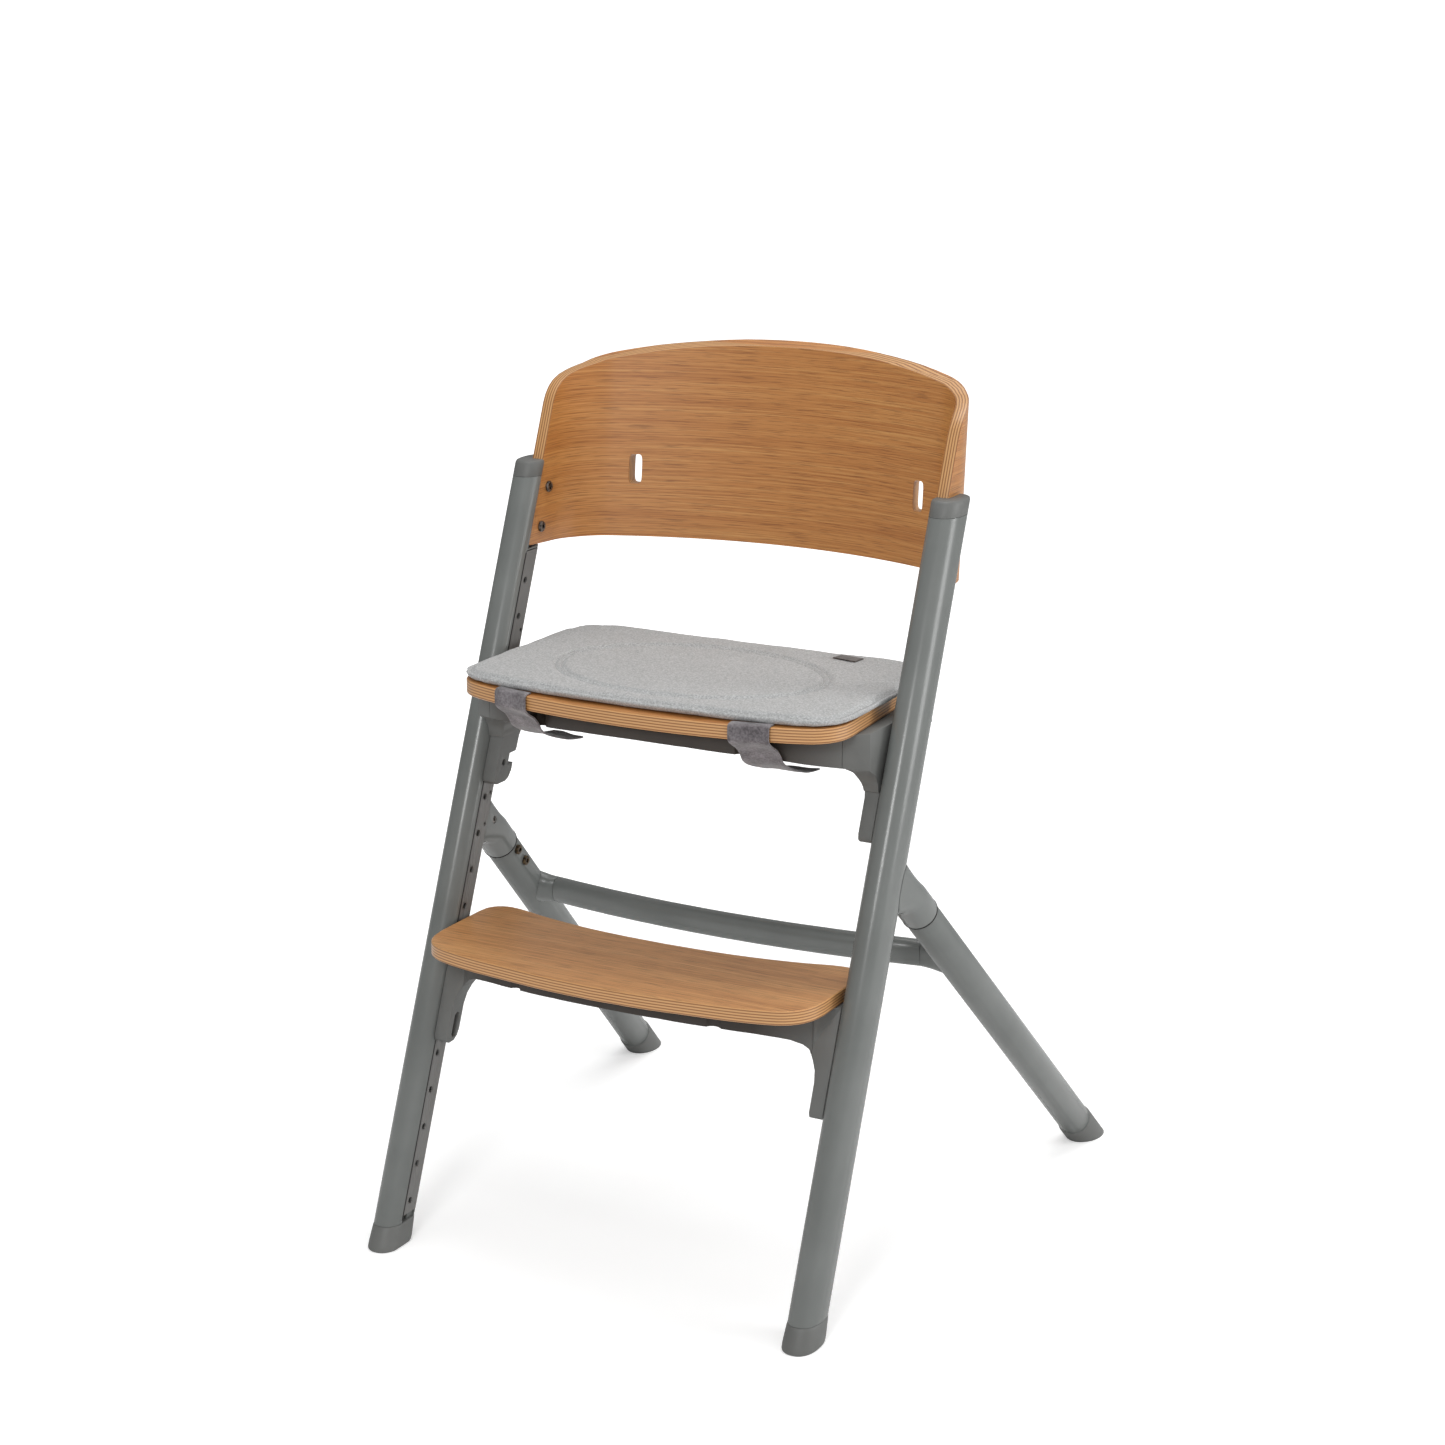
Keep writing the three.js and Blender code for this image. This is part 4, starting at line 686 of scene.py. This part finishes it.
def puffed(node, values):  # the pad's skin, blown up a little by cloth pressure
    pad = bpy.data.objects.new("padCarrier", frame["nodes"][node].data.copy())
    collection.objects.link(pad)
    skin = pad.modifiers.new("skin", "REMESH")
    skin.mode = "VOXEL"
    skin.voxel_size = values["voxelMm"] * mm
    bpy.context.view_layer.update()
    pad.data = plainMesh(pad, "padSkin")
    pad.modifiers.clear()
    rest = [vertex.co.copy() for vertex in pad.data.vertices]
    cloth = pad.modifiers.new("cloth", "CLOTH")
    cloth.settings.use_pressure = True
    cloth.settings.uniform_pressure_force = values["pressure"]
    cloth.settings.effector_weights.gravity = 0
    cloth.settings.quality = 5
    cloth.point_cache.frame_start = 1
    cloth.point_cache.frame_end = values["frames"]
    for number in range(1, values["frames"] + 1):
        scene.frame_set(number)
    mesh = plainMesh(pad, "pad")
    scene.frame_set(1)
    bpy.data.objects.remove(pad)
    for vertex, start in zip(mesh.vertices, rest):
        shift = vertex.co - start
        limit = values["capMm"] * mm
        if shift.length > limit:
            shift *= limit / shift.length
        shift.x *= values["sideways"]
        shift.y *= values["sideways"]
        vertex.co = start + shift
        vertex.co.z = max(vertex.co.z, padLow.z)
    return mesh


def refinedMesh(mesh, levels):
    carrier = bpy.data.objects.new("fineCarrier", mesh)
    collection.objects.link(carrier)
    fine = carrier.modifiers.new("fine", "SUBSURF")
    fine.levels = levels
    fine.render_levels = levels
    bpy.context.view_layer.update()
    result = plainMesh(carrier, mesh.name)
    bpy.data.objects.remove(carrier)
    return result


def outlineOfPad():  # the widest ring of the pad's solid, closed and evenly spaced
    middle = Vector((0, (padLow.y + padHigh.y) / 2))
    level = padLow.z + 4.2 * mm
    ring = [vertex.co for vertex in frame["nodes"]["seat_cushion"].data.vertices
            if abs(vertex.co.z - level) < 0.1 * mm]
    ring = sorted({(round(p.x, 6), round(p.y, 6)) for p in ring},
                  key=lambda p: math.atan2(p[1] - middle.y, p[0] - middle.x))
    dense = []
    for first, second in zip(ring, ring[1:] + ring[:1]):
        first, second = Vector(first), Vector(second)
        count = max(1, round((second - first).length / (1.2 * mm)))
        dense += [first.lerp(second, i / count) for i in range(count)]
    return dense


padEdge = outlineOfPad()
edgeTree = KDTree(len(padEdge))
for index, point in enumerate(padEdge):
    edgeTree.insert((point.x, point.y, 0), index)
edgeTree.balance()


def ovalOffset(x, y, values):  # how far outside the oval, in metres
    u = x / (values["ovalX"] * mm)
    v = (y - designY - values["ovalCentreY"] * mm) / (values["ovalY"] * mm)
    reach = math.hypot(u, v)
    if reach < 1e-6:
        return -values["ovalY"] * mm
    slant = math.hypot(u / (values["ovalX"] * mm), v / (values["ovalY"] * mm)) / reach
    return (reach - 1) / slant


def channel(distance, values):
    return math.exp(-(distance / (values["seamWidthMm"] * mm)) ** 2)


def tufted(mesh, values):  # seam channels and a lightly waved rim
    level = (padLow.z + padHigh.z) / 2
    for vertex in mesh.vertices:
        x, y, z = vertex.co
        distance = edgeTree.find((x, y, 0))[2]
        ripple = 0.5 + 0.5 * noise.noise(Vector((x * 17, y * 17, 2.0)))
        wave = math.exp(-distance / (values["waveReachMm"] * mm)) * ripple
        lift = wave * values["waveMm"] * mm
        if z > level:
            seams = channel(distance - values["edgeSeamMm"] * mm, values)
            oval = ovalOffset(x, y, values)
            seams = max(seams, channel(oval, values), channel(oval + values["ovalGapMm"] * mm, values))
            lift -= seams * values["seamDepthMm"] * mm
            lift += values["dimpleMm"] * mm * noise.noise(Vector((x * 40, y * 40, 7.0)))
        vertex.co.z = z + lift
    return mesh


padMesh = tufted(refinedMesh(puffed("seat_cushion", cushionValues), 2), cushionValues)
cushion = finished("SeatCushion", padMesh, materials["fabric"], ["seat_cushion"], sharpDegrees=180)
padSurface = BVHTree.FromPolygons([vertex.co for vertex in padMesh.vertices],
                                  [polygon.vertices[:] for polygon in padMesh.polygons])


def onPad(x, y):  # point on top of the pad
    hit = padSurface.ray_cast(Vector((x, y, padHigh.z + 30 * mm)), Vector((0, 0, -1)))
    return hit[0] if hit[0] else Vector((x, y, padHigh.z))


def stitchGroup(material):  # thread dashes laid end to end along a seam
    tree, given = nodeGroup("Stitches", [("Spacing", "NodeSocketFloat"), ("Thread", "NodeSocketFloat"),
                                         ("Dash", "NodeSocketFloat")])
    path = addNode(tree, "GeometryNodeMeshToCurve", {"Mesh": given["Geometry"]})
    even = addNode(tree, "GeometryNodeResampleCurve", {
        "Curve": path.outputs[0], "Length": given["Spacing"]}, mode="LENGTH")
    tangent = addNode(tree, "GeometryNodeInputTangent").outputs[0]
    dash = addNode(tree, "GeometryNodeMeshCylinder",
                   {"Vertices": 8, "Radius": given["Thread"], "Depth": given["Dash"]})
    spread = addNode(tree, "GeometryNodeInstanceOnPoints", {
        "Points": even.outputs[0], "Instance": dash.outputs["Mesh"], "Rotation": aimed(tree, tangent)})
    return closeGroup(tree, spread.outputs[0], material)


def seamPath(points, name):
    mesh = bpy.data.meshes.new(name)
    places = [onPad(x, y) + Vector((0, 0, 0.12 * mm)) for x, y in points]
    mesh.from_pydata(places, [(i, (i + 1) % len(places)) for i in range(len(places))], [])
    return mesh


def insetEdge(inset):
    result = []
    for index in range(0, len(padEdge), 2):
        before, after = padEdge[index - 3], padEdge[(index + 3) % len(padEdge)]
        tangent = (after - before).normalized()
        inward = Vector((-tangent.y, tangent.x))
        result.append(padEdge[index] + inward * inset)
    return [(p.x, p.y) for p in result]


def ovalPoints(inset, values):
    return [((values["ovalX"] * mm - inset) * math.cos(math.radians(turn * 2)),
             (values["ovalY"] * mm - inset) * math.sin(math.radians(turn * 2)) + designY
             + values["ovalCentreY"] * mm) for turn in range(180)]


thread = spunThread("SpunThread", "#a3a4a4")
seams = {"EdgeStitch": insetEdge(cushionValues["edgeSeamMm"] * mm),
         "OvalStitchOuter": ovalPoints(0, cushionValues),
         "OvalStitchInner": ovalPoints(cushionValues["ovalGapMm"] * mm, cushionValues)}
for label, points in seams.items():
    stitches = applied(label, stitchGroup(thread), seamPath(points, label + "_path"), {
        "Spacing": cushionValues["stitchMm"] * mm, "Thread": cushionValues["threadMm"] * mm,
        "Dash": cushionValues["dashMm"] * mm})
    rideWith(label, stitches, thread, "seat_cushion")
print("cushion made:", len(padMesh.polygons), "faces")

tagValues = {"width": 26, "depth": 15, "turn": -9.2, "rise": 0.5, "thick": 0.9, "columns": 14,
             "rows": 8, "softMm": 0.3}


def gridFaces(rows, columns):  # quads over a sheet of points laid row by row
    wide = columns + 1
    corners = [row * wide + column for row in range(rows) for column in range(columns)]
    return [(corner, corner + 1, corner + wide + 1, corner + wide) for corner in corners]


# a sheet of points given a wall and soft edges
def thickened(name, points, faces, thickMm, offset, softMm, segments):
    mesh = bpy.data.meshes.new(name)
    mesh.from_pydata(points, [], faces)
    carrier = bpy.data.objects.new(name + "_carrier", mesh)
    collection.objects.link(carrier)
    wall = carrier.modifiers.new("wall", "SOLIDIFY")
    wall.thickness = thickMm * mm
    wall.offset = offset
    soft = carrier.modifiers.new("soft", "BEVEL")
    soft.width = softMm * mm
    soft.segments = segments
    bpy.context.view_layer.update()
    result = plainMesh(carrier, name)
    bpy.data.objects.remove(carrier)
    return result


def tagMesh(values):  # blank woven tag that follows the pad under it
    low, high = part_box("cushion_tag")
    middle = (low + high) / 2
    turn = Matrix.Rotation(math.radians(values["turn"]), 2)
    points = []
    for row in range(values["rows"] + 1):
        for column in range(values["columns"] + 1):
            flat = turn @ Vector(((column / values["columns"] - 0.5) * values["width"] * mm,
                                  (row / values["rows"] - 0.5) * values["depth"] * mm))
            surface = onPad(middle.x + flat.x, middle.y + flat.y)
            points.append(surface + Vector((0, 0, values["rise"] * mm)))
    faces = gridFaces(values["rows"], values["columns"])
    return thickened("CushionTag", points, faces, values["thick"], 1, values["softMm"], 2)


finished("CushionTag", tagMesh(tagValues), materials["tag_cloth"], ["cushion_tag"])
print("tag made")


# ---- straps: wide brushed webbing over the board's front, then back under the tray

strapValues = {"width": 38, "thick": 1.7, "cup": 1.6, "slant": 0.2, "rows": 60, "columns": 12,
               "boardFrontMm": 82, "swayMm": 1.6, "driftMm": 2.2, "softMm": 0.5}
strapPath = [  # distance back from the board's front edge and height over the board's underside
    (8, 14.9), (3, 15.0), (-1.6, 13.6), (-2.4, 8), (-2.0, 0.6), (5, -5), (13, -10), (20, -17.4),
    (24.4, -23.6), (32, -28.8), (44, -34), (60, -39.8), (76, -45), (92, -48.5), (104, -50.5)]


def smoothPath(points, count):  # Catmull-Rom through the points, evenly numbered
    padded = [points[0]] + points + [points[-1]]
    result = []
    for step in range(count + 1):
        place = step / count * (len(points) - 1)
        index = min(int(place), len(points) - 2)
        t = place - index
        a, b, c, d = (Vector(p) for p in padded[index:index + 4])
        result.append(0.5 * (2 * b + (c - a) * t + (2 * a - 5 * b + 4 * c - d) * t * t
                             + (3 * b - a - 3 * c + d) * t ** 3))
    return result


def strapMesh(side, values):
    low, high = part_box("strap_right")
    centre = side * (low.x + high.x) / 2
    front = designY + values["boardFrontMm"] * mm
    path = smoothPath(strapPath, values["rows"])
    points = []
    for index, place in enumerate(path):
        before, after = path[max(index - 1, 0)], path[min(index + 1, len(path) - 1)]
        along = (after - before).normalized()
        outward = Vector((along.y, -along.x)) * -1
        share = index / (len(path) - 1)
        for column in range(values["columns"] + 1):
            across = column / values["columns"] - 0.5
            cup = values["cup"] * (4 * across * across - 0.5) * math.sin(math.pi * share)
            sway = values["swayMm"] * noise.noise(Vector((share * 3.1, across * 2.2, 5.0 + side)))
            spot = place - outward * (cup + sway * share)
            drift = values["driftMm"] * share * math.sin(share * 4)
            slant = side * across * values["width"] * values["slant"]
            points.append((centre + (across * values["width"] + drift) * mm,
                           front + (spot.x + slant) * mm, seatLow.z + spot.y * mm))
    faces = gridFaces(values["rows"], values["columns"])
    return thickened("strapLook", points, faces, values["thick"], 0, values["softMm"], 3)


for side, name in ((-1, "left"), (1, "right")):
    finished("Strap_" + name, strapMesh(side, strapValues), materials["webbing"], ["strap_" + name])
print("straps made")


# ---- floor, light and camera

studio = {"floor": "#f2f2f2", "sky": 0.64, "ground": 0.4, "floorGlow": 0.39, "farGlow": 0.8,
          "front": 34.0, "top": 24.0, "side": 40.0, "leftShare": 0.45, "seenWhite": 1.1}

floorMesh = bpy.data.meshes.new("StudioFloor")
floorMesh.from_pydata([(-30, -30, 0), (30, -30, 0), (30, 30, 0), (-30, 30, 0)], [], [(0, 1, 2, 3)])
floor = bpy.data.objects.new("StudioFloor", floorMesh)
collection.objects.link(floor)
floorMaterial, floorTree, floorShader = newMaterial("MattPaper")
floorShader.inputs["Base Color"].default_value = linear(studio["floor"])
floorShader.inputs["Roughness"].default_value = 0.95
floorShader.inputs["Specular IOR Level"].default_value = 0.0
floorShader.inputs["Emission Color"].default_value = (1, 1, 1, 1)
seen = addNode(floorTree, "ShaderNodeLightPath").outputs["Is Camera Ray"]
floorPlace = addNode(floorTree, "ShaderNodeTexCoord").outputs["Object"]
distance = addNode(floorTree, "ShaderNodeVectorMath", {"Vector": floorPlace},
                   operation="LENGTH").outputs["Value"]
glow = addNode(floorTree, "ShaderNodeMapRange", {
    "Value": distance, "From Min": 0.6, "From Max": 2.4, "To Min": studio["floorGlow"],
    "To Max": studio["farGlow"]})
glow = addNode(floorTree, "ShaderNodeMath", {0: seen, 1: glow.outputs["Result"]}, operation="MULTIPLY")
floorTree.links.new(glow.outputs[0], floorShader.inputs["Emission Strength"])
floorMesh.materials.append(floorMaterial)

# the camera sees a white room, while the chair is lit by a softer one that is brighter above
world = bpy.data.worlds.new("StudioWorld")
bpy.context.scene.world = world
world.use_nodes = True
worldTree = world.node_tree
lit = worldTree.nodes["Background"]
direction = addNode(worldTree, "ShaderNodeTexCoord").outputs["Generated"]
sky = addNode(worldTree, "ShaderNodeSeparateXYZ", {"Vector": direction}).outputs
strength = addNode(worldTree, "ShaderNodeMapRange", {
    "Value": sky["Z"], "From Min": -0.2, "From Max": 0.9, "To Min": studio["ground"],
    "To Max": studio["sky"]}).outputs["Result"]
dimming = addNode(worldTree, "ShaderNodeMapRange", {
    "Value": sky["X"], "From Min": -0.9, "From Max": 0.3, "To Min": studio["leftShare"],
    "To Max": 1.0}).outputs["Result"]
strength = addNode(worldTree, "ShaderNodeMath", {0: strength, 1: dimming},
                   operation="MULTIPLY").outputs[0]
worldTree.links.new(strength, lit.inputs["Strength"])
lit.inputs["Color"].default_value = (1, 1, 1, 1)
white = addNode(worldTree, "ShaderNodeBackground", {"Color": (1, 1, 1, 1), "Strength": studio["seenWhite"]})
chosen = addNode(worldTree, "ShaderNodeMixShader",
                 {"Fac": addNode(worldTree, "ShaderNodeLightPath").outputs["Is Camera Ray"]})
worldTree.links.new(lit.outputs[0], chosen.inputs[1])
worldTree.links.new(white.outputs[0], chosen.inputs[2])
worldTree.links.new(chosen.outputs[0], worldTree.nodes["World Output"].inputs["Surface"])


def softLight(name, power, size, place, target):
    light = bpy.data.lights.new(name, "AREA")
    light.energy = power
    light.shape = "RECTANGLE"
    light.size, light.size_y = size
    obj = bpy.data.objects.new(name, light)
    obj.location = place
    aim = Vector(target) - Vector(place)
    obj.rotation_euler = aim.to_track_quat("-Z", "Y").to_euler()
    collection.objects.link(obj)
    return obj


softLight("FrontBox", studio["front"], (0.8, 0.8), (0.65, -3.0, 1.95), (0, 0, 0.45))
softLight("TopLight", studio["top"], (1.6, 1.6), (0.1, 0.3, 2.7), (0, 0, 0.4))
softLight("SideLight", studio["side"], (1.2, 2.0), (3.0, 0.9, 1.3), (0, 0.1, 0.45))

view = {"lens": 73.69, "tiltDown": 15.04, "turn": 28.34, "x": 1.3105, "y": -2.1662, "z": 1.2303}
camera = bpy.data.cameras.new("StudioCamera")
camera.lens = view["lens"]
camera.sensor_width = 36
camera.clip_end = 40
cameraObject = bpy.data.objects.new("StudioCamera", camera)
cameraObject.location = (view["x"], view["y"] + designY, view["z"])
cameraObject.rotation_euler = (math.radians(90 - view["tiltDown"]), 0, math.radians(view["turn"]))
collection.objects.link(cameraObject)
bpy.context.scene.camera = cameraObject
bpy.context.scene.view_settings.view_transform = "Standard"

print("stage set")
